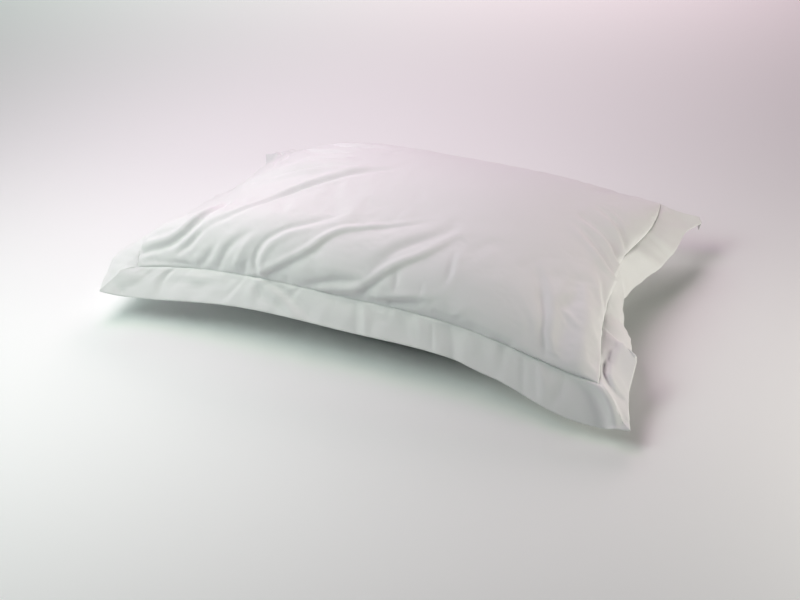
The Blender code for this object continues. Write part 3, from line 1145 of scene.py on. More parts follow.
    def relief(self, ring: Array, flat: Array) -> Array:
        """Return how far folds, gathers and ripples lift the ring.

        Args:
            ring: the border's columns.
            flat: their places on the flat case.

        Returns:
            Metres along the cloth's normal.
        """
        rows = np.array(self.rows)[None, :]
        lift = sum(fold.height(flat) for fold in self.folds)
        step = np.linalg.norm(np.roll(ring[:, 0], -1, axis=0) - ring[:, 0], axis=-1)
        along = np.cumsum(step)[:, None] + np.zeros_like(rows)
        total = float(step.sum())
        out = self.form.border * (rows + 0 * along)
        lift = lift + self.puckers.height_at(along - total / 2, out, total / 2)
        turn = 2 * math.pi * along / total
        chance = np.random.default_rng(self.ripple_seed)
        for count in self.ripple_counts:
            wave = np.sin(count * turn + chance.uniform(0, 2 * math.pi))
            lift = lift + rows ** self.ripple_growth * self.ripple * wave
        lift = lift + self.crumple.height_at(flat)
        return lift * np.clip(rows / self.clear, 0, 1)

    def with_hung_tip(self, ring: Array, flat: Array) -> Array:
        """Draw out the back right tip and bend it down.

        Args:
            ring: the border's columns.
            flat: their places on the flat case.

        Returns:
            The changed ring.
        """
        reach = self.form.field_length / 2 + self.form.field_width / 2 + 2 * self.form.border
        past = flat[..., 0] + flat[..., 1] - reach + self.hung
        near = np.clip(1 + past / self.form.border, 0, 1)
        pulled = self.drawn_out * near ** 2 * (3 - 2 * near)
        return ring + pulled[..., None] * self.drawn_way - np.clip(past, 0, None)[..., None] * self.hung_way

    def half_thickness(self) -> Array:
        """Work out the border's thickness.

        Returns:
            Half of it at each row, rounded off at the turned edge.
        """
        rows = np.array(self.rows)
        puff = self.loose + self.puff * np.exp(-((rows - self.puff_at) / self.puff_width) ** 2)
        body = self.sewn + (puff - self.sewn) * np.clip(rows / self.puff_at, 0, 1)
        turn = 1 - self.turned_width / self.form.border
        thicker = np.clip((rows - turn + self.turn_lead) / self.turn_over, 0, 1)
        body = body + (self.turned - self.loose) * thicker
        round_from = 1 - 0.5 * self.turned / self.form.border
        bend = np.clip((rows - round_from) / (1 - round_from), 0, 1)
        return body / 2 * np.sqrt(np.clip(1 - bend ** 2, self.thinnest, 1))

    def build(self, cotton: bpy.types.Material) -> tuple[bpy.types.Object, Array]:
        """Make the border.

        Args:
            cotton: the cloth's material.

        Returns:
            The piece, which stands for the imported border, and the stitching line's points.
        """
        ring, flat = self.ring()
        ring = ring + self.ring_normals(ring) * self.relief(ring, flat)[..., None]
        ring = self.with_hung_tip(ring, flat)
        offset = self.ring_normals(ring) * self.half_thickness()[None, :, None]
        sheets = np.concatenate([ring + offset, (ring - offset)[:, ::-1]], axis=1)
        marks = np.concatenate([flat, flat[:, ::-1]], axis=1)
        columns, rows = sheets.shape[:2]
        index = np.arange(columns * rows).reshape(columns, rows)
        closed = np.concatenate([index, index[:1]], axis=0)
        closed = np.concatenate([closed, closed[:, :1]], axis=1)
        quads = grid_quads(closed)[:, ::-1]
        mesh = cloth_mesh("border_cloth", sheets.reshape(-1, 3), quads, marks.reshape(-1, 2))
        mesh.materials.append(cotton)
        piece = placed("border_cloth", mesh)
        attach(piece, "root")
        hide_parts("border")
        return piece, ring[:, 0]


@dataclass(frozen=True)
class SeamStitching:
    """The lockstitches along the line between the field and the border, above and below.

    The profile has each ring's place along the stitch, in its lengths from the middle, and
    its share of the thread's thickness. A stitch dips into the cloth at its two ends.
    """

    pitch: float = 0.0028
    length: float = 0.0021
    thickness: float = 0.00042
    out: float = 0.0009
    proud: float = 0.00045
    dip: float = 0.0002
    sides: int = 6
    half_step: float = 0.001
    profile: tuple[FlatPlace, ...] = ((-0.5, 0.35), (-0.3, 0.95), (0.3, 0.95), (0.5, 0.35))

    def places(self, line: Array) -> tuple[Array, Array, Array]:
        """Space the stitches along the line.

        Args:
            line: the stitching line's points, a closed loop.

        Returns:
            The stitches' middles, headings and outward ways.
        """
        closed = np.concatenate([line, line[:1]])
        reach = np.concatenate([[0.0], np.cumsum(np.linalg.norm(np.diff(closed, axis=0), axis=1))])
        count = int(reach[-1] / self.pitch)
        at = (np.arange(count) + 0.5) * reach[-1] / count
        read = [np.stack([np.interp(at + shift, reach, closed[:, axis]) for axis in range(3)], axis=-1)
                for shift in (-self.half_step, 0.0, self.half_step)]
        heading = unit(read[2] - read[0])
        outward = unit(np.cross(heading, (0.0, 0.0, 1.0)))
        return read[1], heading, outward

    def build(self, line: Array, thread: bpy.types.Material) -> bpy.types.Object:
        """Make the stitches.

        Args:
            line: the stitching line's points, anticlockwise from above.
            thread: the thread's material.

        Returns:
            One piece with every stitch.
        """
        middles, heading, outward = self.places(line)
        upward = np.cross(outward, heading)
        upward = upward * np.sign(upward[:, 2:])
        turn = np.linspace(0, 2 * math.pi, self.sides, endpoint=False)
        points, quads = [], []
        count = 0
        for face in (1, -1):
            middle = middles + outward * self.out + upward * face * self.proud
            rings = []
            for place, size in self.profile:
                centre = middle + heading * place * self.length - upward * face * self.dip * abs(place) * 2
                ring = centre[:, None] + self.thickness / 2 * size * (
                    outward[:, None] * np.cos(turn)[None, :, None]
                    + upward[:, None] * np.sin(turn)[None, :, None])
                rings.append(ring)
            block = np.stack(rings, axis=1)
            index = count + np.arange(block[..., 0].size).reshape(block.shape[:3])
            around = np.concatenate([index, index[:, :, :1]], axis=2)
            walls = np.stack([around[:, :-1, :-1], around[:, :-1, 1:], around[:, 1:, 1:],
                              around[:, 1:, :-1]], axis=-1).reshape(-1, 4)
            # two quads close each six-sided end
            caps = [index[:, 0, [0, 3, 2, 1]], index[:, 0, [0, 5, 4, 3]],
                    index[:, -1, [0, 1, 2, 3]], index[:, -1, [0, 3, 4, 5]]]
            points.append(block.reshape(-1, 3))
            quads.extend([walls, *caps])
            count += block[..., 0].size
        mesh = cloth_mesh("seam_stitches", np.concatenate(points), np.concatenate(quads))
        mesh.materials.append(thread)
        piece = placed("seam_stitches", mesh)
        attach(piece, "root")
        return piece


class NodeWork:
    """The nodes of a material or of a shader group, in the making."""

    def __init__(self, tree: bpy.types.NodeTree) -> None:
        """Start on a tree."""
        self.tree = tree

    def feed(self, node: bpy.types.Node, inputs: dict[str | int, object]) -> None:
        """Set or link a node's inputs.

        Args:
            node: the node.
            inputs: a value or another node's output for each input, by its name or its number.
        """
        for label, value in inputs.items():
            if isinstance(value, bpy.types.NodeSocket):
                self.tree.links.new(value, node.inputs[label])
            else:
                node.inputs[label].default_value = value

    def node(self, kind: str, inputs: dict[str | int, object], **values: object) -> bpy.types.Node:
        """Add a node.

        Args:
            kind: its type.
            inputs: what goes into it, as for feed.
            values: its own settings.

        Returns:
            The node.
        """
        made = self.tree.nodes.new(kind)
        for label, value in values.items():
            setattr(made, label, value)
        self.feed(made, inputs)
        return made

    def maths(self, operation: str, first: object, second: object = 0.0) -> bpy.types.NodeSocket:
        """Add a Math node with two inputs and return its output."""
        return self.node("ShaderNodeMath", {0: first, 1: second}, operation=operation).outputs[0]


class ShaderGroup(NodeWork):
    """A shader node group in the making, with its named inputs and outputs."""

    def __init__(self, name: str, inputs: dict[str, float | None], outputs: tuple[str, ...]) -> None:
        """Make the group.

        Args:
            name: the group's name.
            inputs: each input's name and starting value, None for a vector.
            outputs: the names of its outputs, which are values.
        """
        super().__init__(bpy.data.node_groups.new(name, "ShaderNodeTree"))
        for label, value in inputs.items():
            kind = "NodeSocketVector" if value is None else "NodeSocketFloat"
            socket = self.tree.interface.new_socket(name=label, in_out="INPUT", socket_type=kind)
            if value is not None:
                socket.default_value = value
        for label in outputs:
            self.tree.interface.new_socket(name=label, in_out="OUTPUT", socket_type="NodeSocketFloat")
        self.given = self.tree.nodes.new("NodeGroupInput").outputs
        self.end = self.tree.nodes.new("NodeGroupOutput")


class FinishWork(NodeWork):
    """A material in the making, with its shader."""

    def __init__(self, name: str) -> None:
        """Make the material.

        Args:
            name: the material's name.
        """
        self.material = bpy.data.materials.new(name)
        self.material.use_nodes = True
        super().__init__(self.material.node_tree)
        self.shader = self.tree.nodes["Principled BSDF"]


@dataclass(frozen=True)
class FabricEffects:
    """The node groups that both of the case's cottons use."""

    weave: bpy.types.NodeTree
    wear: bpy.types.NodeTree

    @classmethod
    def built(cls) -> "FabricEffects":
        """Make both groups."""
        return cls(cls.plain_weave(), cls.soft_wear())

    @staticmethod
    def plain_weave() -> bpy.types.NodeTree:
        """Make the height and tone of plain woven threads.

        Returns:
            The group.
        """
        group = ShaderGroup("plain_weave", {"Vector": None, "Threads": 3000.0, "Slub": 0.3},
                            ("Height", "Tone"))
        scaled = group.node("ShaderNodeVectorMath", {0: group.given["Vector"],
                                                     "Scale": group.given["Threads"]},
                            operation="SCALE").outputs[0]
        parts = group.node("ShaderNodeSeparateXYZ", {0: scaled}).outputs
        warp = group.maths("SINE", group.maths("MULTIPLY", parts["X"], math.pi))
        weft = group.maths("SINE", group.maths("MULTIPLY", parts["Y"], math.pi))
        over = group.maths("MULTIPLY", warp, weft)
        streak = group.node("ShaderNodeMapping", {"Vector": scaled, "Scale": (0.05, 1.0, 1.0)})
        slub = group.node("ShaderNodeTexNoise", {"Vector": streak.outputs[0], "Scale": 0.35, "Detail": 2.0})
        uneven = group.maths("MULTIPLY", group.maths("SUBTRACT", slub.outputs[0], 0.5), group.given["Slub"])
        tone = group.maths("ADD", group.maths("MULTIPLY", over, 0.25), 0.5)
        group.feed(group.end, {
            "Height": group.maths("ADD", group.maths("MULTIPLY", over, 0.5), uneven),
            "Tone": group.maths("ADD", tone, uneven),
        })
        return group.tree

    @staticmethod
    def soft_wear() -> bpy.types.NodeTree:
        """Make the faint creases and slow tone drift of washed cotton.

        Returns:
            The group.
        """
        group = ShaderGroup("soft_wear", {"Vector": None, "Scale": 40.0, "Stretch": 0.5},
                            ("Height", "Drift"))
        place = group.given["Vector"]
        warp = group.node("ShaderNodeTexNoise", {"Vector": place, "Scale": 9.0, "Detail": 2.0})
        bent = group.node("ShaderNodeVectorMath", {0: warp.outputs["Color"], 1: (0.03, 0.03, 0.03),
                                                   2: place}, operation="MULTIPLY_ADD")
        creases = group.node("ShaderNodeTexNoise", {"Vector": bent.outputs[0],
                                                    "Scale": group.given["Scale"],
                                                    "Detail": 3.0, "Roughness": 0.4},
                             noise_type="RIDGED_MULTIFRACTAL")
        drift = group.node("ShaderNodeTexNoise", {"Vector": place, "Scale": 5.0, "Detail": 3.0})
        group.feed(group.end, {
            "Height": group.maths("MULTIPLY", creases.outputs[0], group.given["Stretch"]),
            "Drift": drift.outputs[0],
        })
        return group.tree


@dataclass(frozen=True)
class CottonFinish:
    """A white cotton percale."""

    name: str
    light: Colour
    dark: Colour
    roughness: float = 0.80
    unevenness: float = 0.06
    threads: float = 2800.0
    weave_depth: float = 0.00006
    weave_strength: float = 0.6
    crease_depth: float = 0.0004
    sheen: float = 0.25
    sheen_roughness: float = 0.5
    shine: float = 0.3

    def built(self, effects: FabricEffects) -> bpy.types.Material:
        """Make the material.

        Args:
            effects: the fabric's node groups.

        Returns:
            The material.
        """
        work = FinishWork(self.name)
        flat = work.node("ShaderNodeUVMap", {}, uv_map="flat_case").outputs[0]
        weave = work.node("ShaderNodeGroup", {}, node_tree=effects.weave)
        work.feed(weave, {"Vector": flat, "Threads": self.threads})
        wear = work.node("ShaderNodeGroup", {}, node_tree=effects.wear)
        work.feed(wear, {"Vector": flat})
        share = work.maths("MULTIPLY", weave.outputs["Tone"], wear.outputs["Drift"])
        tone = work.node("ShaderNodeMix", {"A": self.light, "B": self.dark, "Factor": share},
                         data_type="RGBA")
        rough = work.node("ShaderNodeMapRange", {"Value": weave.outputs["Tone"],
                                                 "To Min": self.roughness - self.unevenness,
                                                 "To Max": self.roughness + self.unevenness})
        creases = work.node("ShaderNodeBump", {"Distance": self.crease_depth,
                                               "Height": wear.outputs["Height"]})
        threads = work.node("ShaderNodeBump", {"Distance": self.weave_depth,
                                               "Strength": self.weave_strength,
                                               "Height": weave.outputs["Height"],
                                               "Normal": creases.outputs[0]})
        work.feed(work.shader, {
            "Base Color": tone.outputs["Result"],
            "Roughness": rough.outputs[0],
            "Normal": threads.outputs[0],
            "Sheen Weight": self.sheen,
            "Sheen Roughness": self.sheen_roughness,
            "Specular IOR Level": self.shine,
        })
        return work.material


@dataclass(frozen=True)
class ThreadFinish:
    """White sewing thread, a little glossier than the cotton."""

    name: str
    colour: Colour
    roughness: float = 0.55
    sheen: float = 0.2
    twists: float = 900.0
    twist_depth: float = 0.00005

    def built(self) -> bpy.types.Material:
        """Make the material, with the thread's twist as fine stripes.

        Returns:
            The material.
        """
        work = FinishWork(self.name)
        place = work.node("ShaderNodeTexCoord", {}).outputs["Object"]
        twist = work.node("ShaderNodeTexWave", {"Scale": self.twists, "Vector": place},
                          bands_direction="DIAGONAL")
        bump = work.node("ShaderNodeBump", {"Distance": self.twist_depth, "Height": twist.outputs["Fac"]})
        work.feed(work.shader, {
            "Base Color": self.colour,
            "Roughness": self.roughness,
            "Sheen Weight": self.sheen,
            "Normal": bump.outputs[0],
        })
        return work.material


@dataclass(frozen=True)
class FloorFinish:
    """The plain, pale, matt surface that the case lies on."""

    name: str
    colour: Colour
    roughness: float = 0.9

    def built(self) -> bpy.types.Material:
        """Make the material.

        Returns:
            The material.
        """
        work = FinishWork(self.name)
        work.feed(work.shader, {"Base Color": self.colour, "Roughness": self.roughness})
        return work.material


@dataclass(frozen=True)
class StudioLight:
    """One soft light, which points at the case or at the floor behind it."""

    name: str
    place: Place
    size: float
    watts: float
    colour: tuple[float, float, float]
    aim: Place = (0.0, 0.0, 0.06)


@dataclass(frozen=True)
class Studio:
    """The pale floor, the soft lights and the camera."""

    lights: tuple[StudioLight, ...]
    floor: FloorFinish
    floor_half: float = 4.0
    camera_place: Place = (0.5657, -1.4515, 0.9681)
    azimuth: float = -22.0
    elevation: float = 32.8
    roll: float = 0.3
    view_angle: float = 40.0
    sensor: float = 36.0

    def build(self) -> None:
        """Make the whole studio."""
        self.add_world()
        self.add_floor()
        for light in self.lights:
            self.add_light(light)
        self.add_camera()
        bpy.context.scene.view_settings.view_transform = "Standard"

    def add_world(self) -> None:
        """Keep the sky dark, so that the lights alone light the case."""
        world = bpy.data.worlds.new("studio")
        bpy.context.scene.world = world
        world.use_nodes = True
        world.node_tree.nodes["Background"].inputs["Strength"].default_value = 0.0

    def add_floor(self) -> None:
        """Lay the floor, which isn't part of the case."""
        mesh = level_square("floor", self.floor_half)
        mesh.materials.append(self.floor.built())
        floor = placed("floor", mesh)

    def add_light(self, light: StudioLight) -> None:
        """Hang one light.

        Args:
            light: the light.
        """
        data = bpy.data.lights.new(light.name, "AREA")
        data.energy, data.size, data.color = light.watts, light.size, light.colour
        lamp = placed(light.name, data)
        lamp.location = light.place
        lamp.rotation_euler = (Vector(light.aim) - Vector(light.place)).to_track_quat("-Z", "Y").to_euler()

    def add_camera(self) -> None:
        """Set the camera at the photograph's angle."""
        azimuth, elevation, roll = (math.radians(turn) for turn in (self.azimuth, self.elevation, self.roll))
        ahead = Vector((math.sin(azimuth) * math.cos(elevation), math.cos(azimuth) * math.cos(elevation),
                        -math.sin(elevation)))
        level = ahead.cross((0, 0, 1)).normalized()
        down = ahead.cross(level)
        right = math.cos(roll) * level + math.sin(roll) * down
        up = math.sin(roll) * level - math.cos(roll) * down
        data = bpy.data.cameras.new("camera")
        data.sensor_width = self.sensor
        data.lens = self.sensor / 2 / math.tan(math.radians(self.view_angle / 2))
        camera = placed("camera", data)
        turned = Matrix((right, up, -ahead)).transposed().to_4x4()
        camera.matrix_world = Matrix.Translation(self.camera_place) @ turned
        bpy.context.scene.camera = camera


CRISP = FoldShape.CRISP

# A fold's numbers are its two half widths, depth, lip, and the strengths at its start and end.
FIELD_FOLDS = (
    # from the kink in the front seam, up and to the right
    Fold(((-0.168, -0.251), (-0.135, -0.233), (-0.106, -0.215), (-0.076, -0.193), (-0.050, -0.162),
          (-0.022, -0.143), (0.010, -0.127), (0.066, -0.093)),
         0.0052, 0.0060, 0.0030, 0.0030, 0.9, 0.1, CRISP),
    # the bent one on its left
    Fold(((-0.078, -0.136), (-0.104, -0.153), (-0.133, -0.173), (-0.158, -0.198), (-0.167, -0.215),
          (-0.169, -0.229), (-0.164, -0.249)), 0.0060, 0.0048, 0.0034, 0.0026, 0.1, 0.9),
    Fold(((-0.026, -0.247), (-0.006, -0.241), (0.020, -0.223), (0.042, -0.203), (0.061, -0.187),
          (0.081, -0.171), (0.097, -0.153), (0.109, -0.133), (0.120, -0.114)),
         0.0056, 0.0066, 0.0028, 0.0028, 0.7, 0.1, CRISP),
    Fold(((0.012, -0.196), (0.034, -0.176), (0.048, -0.157), (0.066, -0.141), (0.091, -0.118),
          (0.106, -0.102)),
         0.0070, 0.0080, 0.0018, 0.0008, 0.3, 0.1),
    # between them, beside the seam
    Fold(((-0.002, -0.222), (-0.040, -0.229), (-0.062, -0.236), (-0.088, -0.246)),
         0.0060, 0.0050, 0.0044, 0.0030, 0.3, 0.5),
    # hollows and a ridge along the left of the front seam
    Fold(((-0.266, -0.243), (-0.250, -0.227), (-0.236, -0.208)), 0.0055, 0.0055, 0.0024, 0.0016, 0.5, 0.2),
    Fold(((-0.234, -0.243), (-0.222, -0.221), (-0.208, -0.205), (-0.193, -0.191), (-0.176, -0.178)),
         0.0065, 0.0070, 0.0034, 0.0016, 0.8, 0.1),
    Fold(((-0.212, -0.246), (-0.195, -0.219), (-0.181, -0.198), (-0.158, -0.176)),
         0.0065, 0.0065, -0.0030, 0.0, 0.5, 0.1),
    Fold(((-0.188, -0.247), (-0.186, -0.234), (-0.181, -0.222)), 0.0055, 0.0050, 0.0030, 0.0, 0.8, 0.2),
    Fold(((-0.312, -0.233), (-0.292, -0.219), (-0.274, -0.202), (-0.266, -0.186)),
         0.0045, 0.0040, 0.0015, 0.0014, 0.3, 0.2),
    Fold(((-0.330, -0.245), (-0.310, -0.244), (-0.285, -0.244), (-0.262, -0.245)),
         0.0042, 0.0038, 0.0026, 0.0, 0.3, 0.1),
    # long arcs over the left end
    Fold(((-0.373, -0.227), (-0.345, -0.222), (-0.312, -0.211), (-0.291, -0.192), (-0.278, -0.165),
          (-0.277, -0.135), (-0.285, -0.108), (-0.299, -0.085)), 0.0060, 0.0070, 0.0058, 0.0044, 0.6, 0.7),
    Fold(((-0.300, -0.224), (-0.280, -0.207), (-0.256, -0.184)), 0.0060, 0.0060, 0.0032, 0.0020, 0.4, 0.3),
    Fold(((-0.252, -0.178), (-0.222, -0.150), (-0.206, -0.118), (-0.190, -0.088), (-0.163, -0.055),
          (-0.125, -0.022), (-0.085, 0.008), (-0.050, 0.028)), 0.0060, 0.0075, 0.0066, 0.0046, 0.2, 0.2),
    Fold(((-0.098, 0.036), (-0.143, 0.022), (-0.203, 0.007), (-0.253, -0.009), (-0.300, -0.012)),
         0.0080, 0.0075, 0.0066, 0.0060, 0.2, 0.4),
    Fold(((-0.130, 0.066), (-0.190, 0.053), (-0.243, 0.038), (-0.300, 0.024), (-0.340, 0.012)),
         0.0090, 0.0085, 0.0070, 0.0060, 0.2, 0.4),
    # over the back of the left end
    Fold(((-0.140, 0.090), (-0.162, 0.087), (-0.192, 0.086), (-0.215, 0.091), (-0.232, 0.099),
          (-0.248, 0.110)),
         0.0055, 0.0060, 0.0050, 0.0, 0.3, 0.8),
    Fold(((-0.090, 0.132), (-0.122, 0.125), (-0.155, 0.118), (-0.177, 0.120), (-0.200, 0.132),
          (-0.220, 0.146)),
         0.0075, 0.0070, 0.0080, 0.0, 0.3, 0.8),
    Fold(((-0.310, 0.116), (-0.298, 0.085), (-0.288, 0.055)), 0.0050, 0.0050, 0.0040, 0.0, 0.6, 0.3),
    Fold(((-0.294, 0.126), (-0.283, 0.098), (-0.276, 0.072)), 0.0050, 0.0050, 0.0046, 0.0, 0.6, 0.3),
    # the plump back, left of its middle
    Fold(((-0.300, 0.110), (-0.190, 0.125), (-0.050, 0.135)), 0.0500, 0.0500, -0.0080, 0.0, 0.8, 0.4),
    # the fan at the right end, from the pinch in its seam
    Fold(((0.373, 0.022), (0.352, 0.036), (0.338, 0.046), (0.320, 0.054), (0.290, 0.060), (0.262, 0.066)),
         0.0060, 0.0090, 0.0052, 0.0044, 0.5, 0.1),
    Fold(((0.373, 0.056), (0.358, 0.074), (0.335, 0.092), (0.308, 0.105), (0.276, 0.112)),
         0.0065, 0.0090, 0.0052, 0.0046, 0.6, 0.2),
    Fold(((0.345, 0.112), (0.325, 0.121), (0.300, 0.127), (0.276, 0.128)),
         0.0050, 0.0060, 0.0016, 0.0012, 0.3, 0.2),
    Fold(((0.373, -0.012), (0.352, -0.008), (0.330, 0.004), (0.305, 0.020), (0.270, 0.040)),
         0.0060, 0.0090, 0.0046, 0.0038, 0.5, 0.1),
    Fold(((0.371, -0.170), (0.353, -0.150), (0.341, -0.102), (0.327, -0.056), (0.302, -0.022)),
         0.0080, 0.0110, 0.0018, 0.0016, 0.3, 0.1),
    Fold(((0.372, -0.117), (0.358, -0.085), (0.342, -0.052), (0.320, -0.025)),
         0.0060, 0.0090, 0.0030, 0.0024, 0.4, 0.1),
    # the swollen cloth that hangs over the pinch
    Fold(((0.367, -0.105), (0.366, -0.050), (0.366, 0.010), (0.366, 0.060), (0.366, 0.110)),
         0.0100, 0.0090, -0.0050, 0.0, 0.1, 0.1),
    # the hollow right of the front
    Fold(((0.240, -0.105), (0.256, -0.130), (0.268, -0.160), (0.277, -0.190), (0.281, -0.214),
          (0.286, -0.222)),
         0.0100, 0.0055, 0.0044, 0.0022, 0.2, 0.6),
    Fold(((0.293, -0.156), (0.306, -0.168), (0.321, -0.181)), 0.0045, 0.0045, 0.0012, 0.0006, 0.3, 0.3),
    Fold(((0.240, -0.190), (0.256, -0.205), (0.262, -0.228)), 0.0060, 0.0050, 0.0009, 0.0006, 0.3, 0.3),
    # where the front turns into the right end
    Fold(((0.338, -0.225), (0.336, -0.165), (0.330, -0.095), (0.322, -0.030)),
         0.0180, 0.0200, -0.0060, 0.0, 0.6, 0.1),
    Fold(((0.028, -0.245), (0.056, -0.240), (0.078, -0.235), (0.108, -0.230)),
         0.0045, 0.0050, 0.0044, 0.0034, 0.6, 0.2),
    Fold(((0.125, -0.150), (0.128, -0.172), (0.127, -0.190), (0.119, -0.204)),
         0.0045, 0.0045, 0.0015, 0.0010, 0.4, 0.2),
    Fold(((0.055, -0.202), (0.056, -0.218)), 0.0035, 0.0035, 0.0012, 0.0, 0.6, 0.4),
    Fold(((0.094, -0.206), (0.094, -0.224)), 0.0040, 0.0040, 0.0009, 0.0004, 0.6, 0.4),
    Fold(((0.150, -0.243), (0.160, -0.235), (0.168, -0.227)), 0.0035, 0.0040, 0.0010, 0.0006, 0.6, 0.2),
)

BORDER_FOLDS = (
    # round the kink in the front seam
    Fold(((-0.170, -0.262), (-0.159, -0.277), (-0.131, -0.284)), 0.0050, 0.0060, 0.0026, 0.0, 0.6, 0.4),
    Fold(((-0.146, -0.254), (-0.116, -0.266), (-0.093, -0.280), (-0.070, -0.293)),
         0.0060, 0.0080, 0.0042, 0.0, 0.6, 0.4),
    Fold(((-0.164, -0.252), (-0.131, -0.271), (-0.093, -0.294)), 0.0060, 0.0090, -0.0046, 0.0, 0.9, 0.6),
    Fold(((-0.169, -0.252), (-0.173, -0.275), (-0.176, -0.295)), 0.0070, 0.0110, -0.0030, 0.0, 0.8, 0.6),
    # along the left of the front
    Fold(((-0.330, -0.284), (-0.327, -0.268), (-0.318, -0.257)), 0.0060, 0.0050, 0.0034, 0.0016, 0.5, 0.6),
    Fold(((-0.316, -0.275), (-0.290, -0.272), (-0.262, -0.275), (-0.238, -0.270), (-0.222, -0.270)),
         0.0050, 0.0045, 0.0026, 0.0024, 0.4, 0.3),
    Fold(((-0.219, -0.291), (-0.204, -0.275), (-0.192, -0.257)), 0.0060, 0.0050, 0.0028, 0.0, 0.5, 0.4),
    Fold(((-0.360, -0.262), (-0.351, -0.266)), 0.0050, 0.0050, 0.0016, 0.0, 0.8, 0.8),
    Fold(((-0.380, -0.284), (-0.370, -0.281)), 0.0050, 0.0050, 0.0020, 0.0, 0.8, 0.8),
    # along the middle and the right of the front
    Fold(((0.012, -0.252), (0.016, -0.275), (0.021, -0.298)), 0.0055, 0.0070, -0.0024, 0.0, 0.6, 0.8),
    Fold(((0.028, -0.268), (0.045, -0.271), (0.060, -0.271)), 0.0030, 0.0030, 0.0020, 0.0014, 0.6, 0.3),
    Fold(((-0.002, -0.253), (0.000, -0.276), (0.004, -0.298)), 0.0050, 0.0060, 0.0012, 0.0, 0.6, 0.8),
    Fold(((0.066, -0.252), (0.078, -0.269), (0.090, -0.298)), 0.0050, 0.0070, 0.0014, 0.0, 0.7, 0.6),
    Fold(((0.096, -0.253), (0.104, -0.277), (0.110, -0.298)), 0.0060, 0.0080, -0.0016, 0.0, 0.6, 0.6),
    Fold(((0.120, -0.262), (0.122, -0.276), (0.124, -0.292)), 0.0030, 0.0035, 0.0016, 0.0010, 0.6, 0.5),
    Fold(((0.151, -0.254), (0.153, -0.276), (0.158, -0.298)), 0.0120, 0.0130, 0.0042, 0.0, 0.5, 0.9),
    Fold(((0.234, -0.252), (0.231, -0.278), (0.231, -0.299)), 0.0060, 0.0070, 0.0018, 0.0, 0.6, 0.6),
    Fold(((0.262, -0.254), (0.265, -0.276), (0.269, -0.298)), 0.0050, 0.0060, 0.0020, 0.0, 0.5, 0.8),
    Fold(((0.290, -0.256), (0.298, -0.277), (0.300, -0.298)), 0.0070, 0.0090, -0.0030, 0.0, 0.5, 0.7),
    # the front left tip
    Fold(((-0.425, -0.262), (-0.412, -0.272), (-0.402, -0.283), (-0.394, -0.293)),
         0.0045, 0.0050, 0.0030, 0.0016, 0.1, 0.8),
    Fold(((-0.380, -0.241), (-0.400, -0.237), (-0.421, -0.230)), 0.0030, 0.0045, 0.0012, 0.0008, 0.7, 0.4),
    Fold(((-0.380, -0.228), (-0.400, -0.219), (-0.421, -0.208)), 0.0030, 0.0050, 0.0014, 0.0010, 0.7, 0.4),
    Fold(((-0.380, -0.213), (-0.400, -0.200), (-0.421, -0.187)), 0.0030, 0.0055, 0.0014, 0.0010, 0.7, 0.3),
    # the front right corner: a bent ridge, the hollow round it and another on its left
    Fold(((0.362, -0.252), (0.379, -0.259), (0.391, -0.270), (0.401, -0.285), (0.405, -0.299)),
         0.0075, 0.0080, -0.0060, 0.0, 0.6, 0.8),
    Fold(((0.350, -0.262), (0.368, -0.272), (0.382, -0.288), (0.388, -0.299)),
         0.0120, 0.0120, 0.0044, 0.0, 0.5, 0.9),
    Fold(((0.386, -0.298), (0.405, -0.295), (0.426, -0.284)), 0.0040, 0.0040, 0.0030, 0.0, 0.4, 0.9),
    Fold(((0.318, -0.284), (0.322, -0.272), (0.326, -0.258)), 0.0050, 0.0050, 0.0024, 0.0014, 0.6, 0.4),
    # the right side: a hollow in the pleat, and a bend further back
    Fold(((0.398, -0.172), (0.389, -0.195), (0.386, -0.215), (0.395, -0.240), (0.410, -0.247)),
         0.0038, 0.0045, 0.0056, 0.0034, 0.4, 0.3, CRISP),
    Fold(((0.428, -0.245), (0.430, -0.205), (0.430, -0.165)), 0.0240, 0.0240, 0.0060, 0.0, 0.8, 0.8),
    Fold(((0.376, -0.120), (0.400, -0.113), (0.424, -0.104)), 0.0080, 0.0080, -0.0030, 0.0, 0.6, 0.6),
    Fold(((0.378, -0.092), (0.400, -0.081), (0.424, -0.066)), 0.0090, 0.0100, 0.0022, 0.0, 0.5, 0.7),
    Fold(((0.376, 0.034), (0.400, 0.028), (0.424, 0.022)), 0.0050, 0.0060, 0.0022, 0.0, 0.6, 0.8),
    Fold(((0.376, 0.092), (0.400, 0.104), (0.424, 0.118)), 0.0120, 0.0150, -0.0044, 0.0, 0.7, 0.9),
    Fold(((0.376, 0.146), (0.400, 0.149), (0.424, 0.155)), 0.0060, 0.0070, 0.0018, 0.0010, 0.5, 0.7),
    # the back left square
    Fold(((-0.378, 0.262), (-0.383, 0.280), (-0.388, 0.298)), 0.0040, 0.0060, 0.0022, 0.0018, 0.7, 0.8),
    Fold(((-0.360, 0.253), (-0.352, 0.275), (-0.350, 0.298)), 0.0040, 0.0060, 0.0022, 0.0018, 0.7, 0.8),
    Fold(((-0.330, 0.253), (-0.320, 0.275), (-0.316, 0.298)), 0.0050, 0.0070, 0.0018, 0.0012, 0.6, 0.8),
)

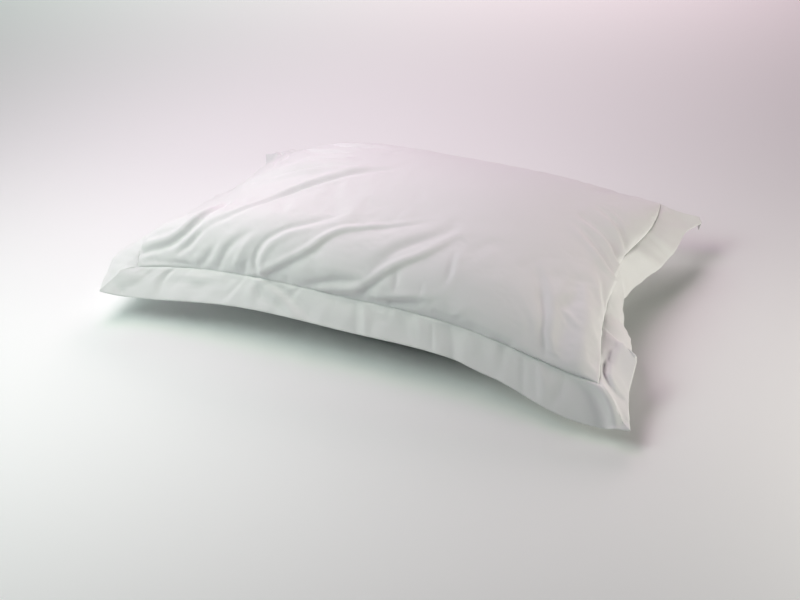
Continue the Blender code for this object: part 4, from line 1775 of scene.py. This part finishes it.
BUCKLES = (
    Buckle(Side.FRONT, 0.190, 0.200, 0.040, -0.003),
    Buckle(Side.RIGHT, -0.150, -0.197, 0.031, 0.013, 0.030),
    Buckle(Side.RIGHT, 0.004, 0.012, 0.018, 0.009),
    Buckle(Side.BACK, -0.140, -0.150, 0.045, 0.005),
    Buckle(Side.BACK, 0.110, 0.120, 0.055, -0.004),
    Buckle(Side.LEFT, 0.070, 0.080, 0.045, -0.004),
)

STUDIO = Studio(
    lights=(
        StudioLight("front_left", (-0.68, -0.68, 0.93), 0.6, 6.7, (0.89, 1.0, 0.95)),
        StudioLight("high_left", (-0.57, -0.21, 1.21), 0.6, 4.8, (1.0, 0.95, 0.87)),
        StudioLight("high_back_left", (-0.53, 0.31, 1.21), 0.6, 3.0, (1.0, 0.5, 0.96)),
        StudioLight("right", (1.38, -0.12, 0.25), 0.5, 7.3, (1.0, 0.95, 0.85)),
        StudioLight("front_right", (1.26, -0.59, 0.25), 0.5, 0.8, (0.74, 0.90, 1.0)),
        StudioLight("back_left", (-1.7, 1.9, 1.5), 1.2, 16.0, (0.78, 1.0, 0.91), (-1.5, 1.2, 0.0)),
        StudioLight("back", (-0.3, 2.5, 1.5), 1.2, 28.0, (1.0, 0.75, 0.84), (-0.4, 1.6, 0.0)),
    ),
    floor=FloorFinish("pale_floor", (0.915, 0.945, 0.93, 1.0)),
)


def main() -> None:
    """Dress the pillowcase and set up its studio."""
    logging.basicConfig(level=logging.INFO, format="%(message)s")
    form = CaseForm()
    effects = FabricEffects.built()
    field_cotton = CottonFinish("field_cotton_looks", (0.86, 0.865, 0.865, 1.0), (0.80, 0.81, 0.81, 1.0))
    border_cotton = CottonFinish("border_cotton_looks", (0.86, 0.87, 0.865, 1.0), (0.80, 0.815, 0.81, 1.0))
    thread = ThreadFinish("white_thread", (0.80, 0.81, 0.80, 1.0))
    stuffed = StuffedField(form, FIELD_FOLDS, PillowPressure())
    flat_border = FlatBorder(form, BUCKLES, BORDER_FOLDS, stuffed)
    field_piece = stuffed.build(field_cotton.built(effects))
    border_piece, line = flat_border.build(border_cotton.built(effects))
    stitches = SeamStitching().build(line, thread.built())
    STUDIO.build()
    for piece in (field_piece, border_piece, stitches):
        log.info("%s: %d faces", piece.name, len(piece.data.polygons))


if __name__ == "__main__":
    main()
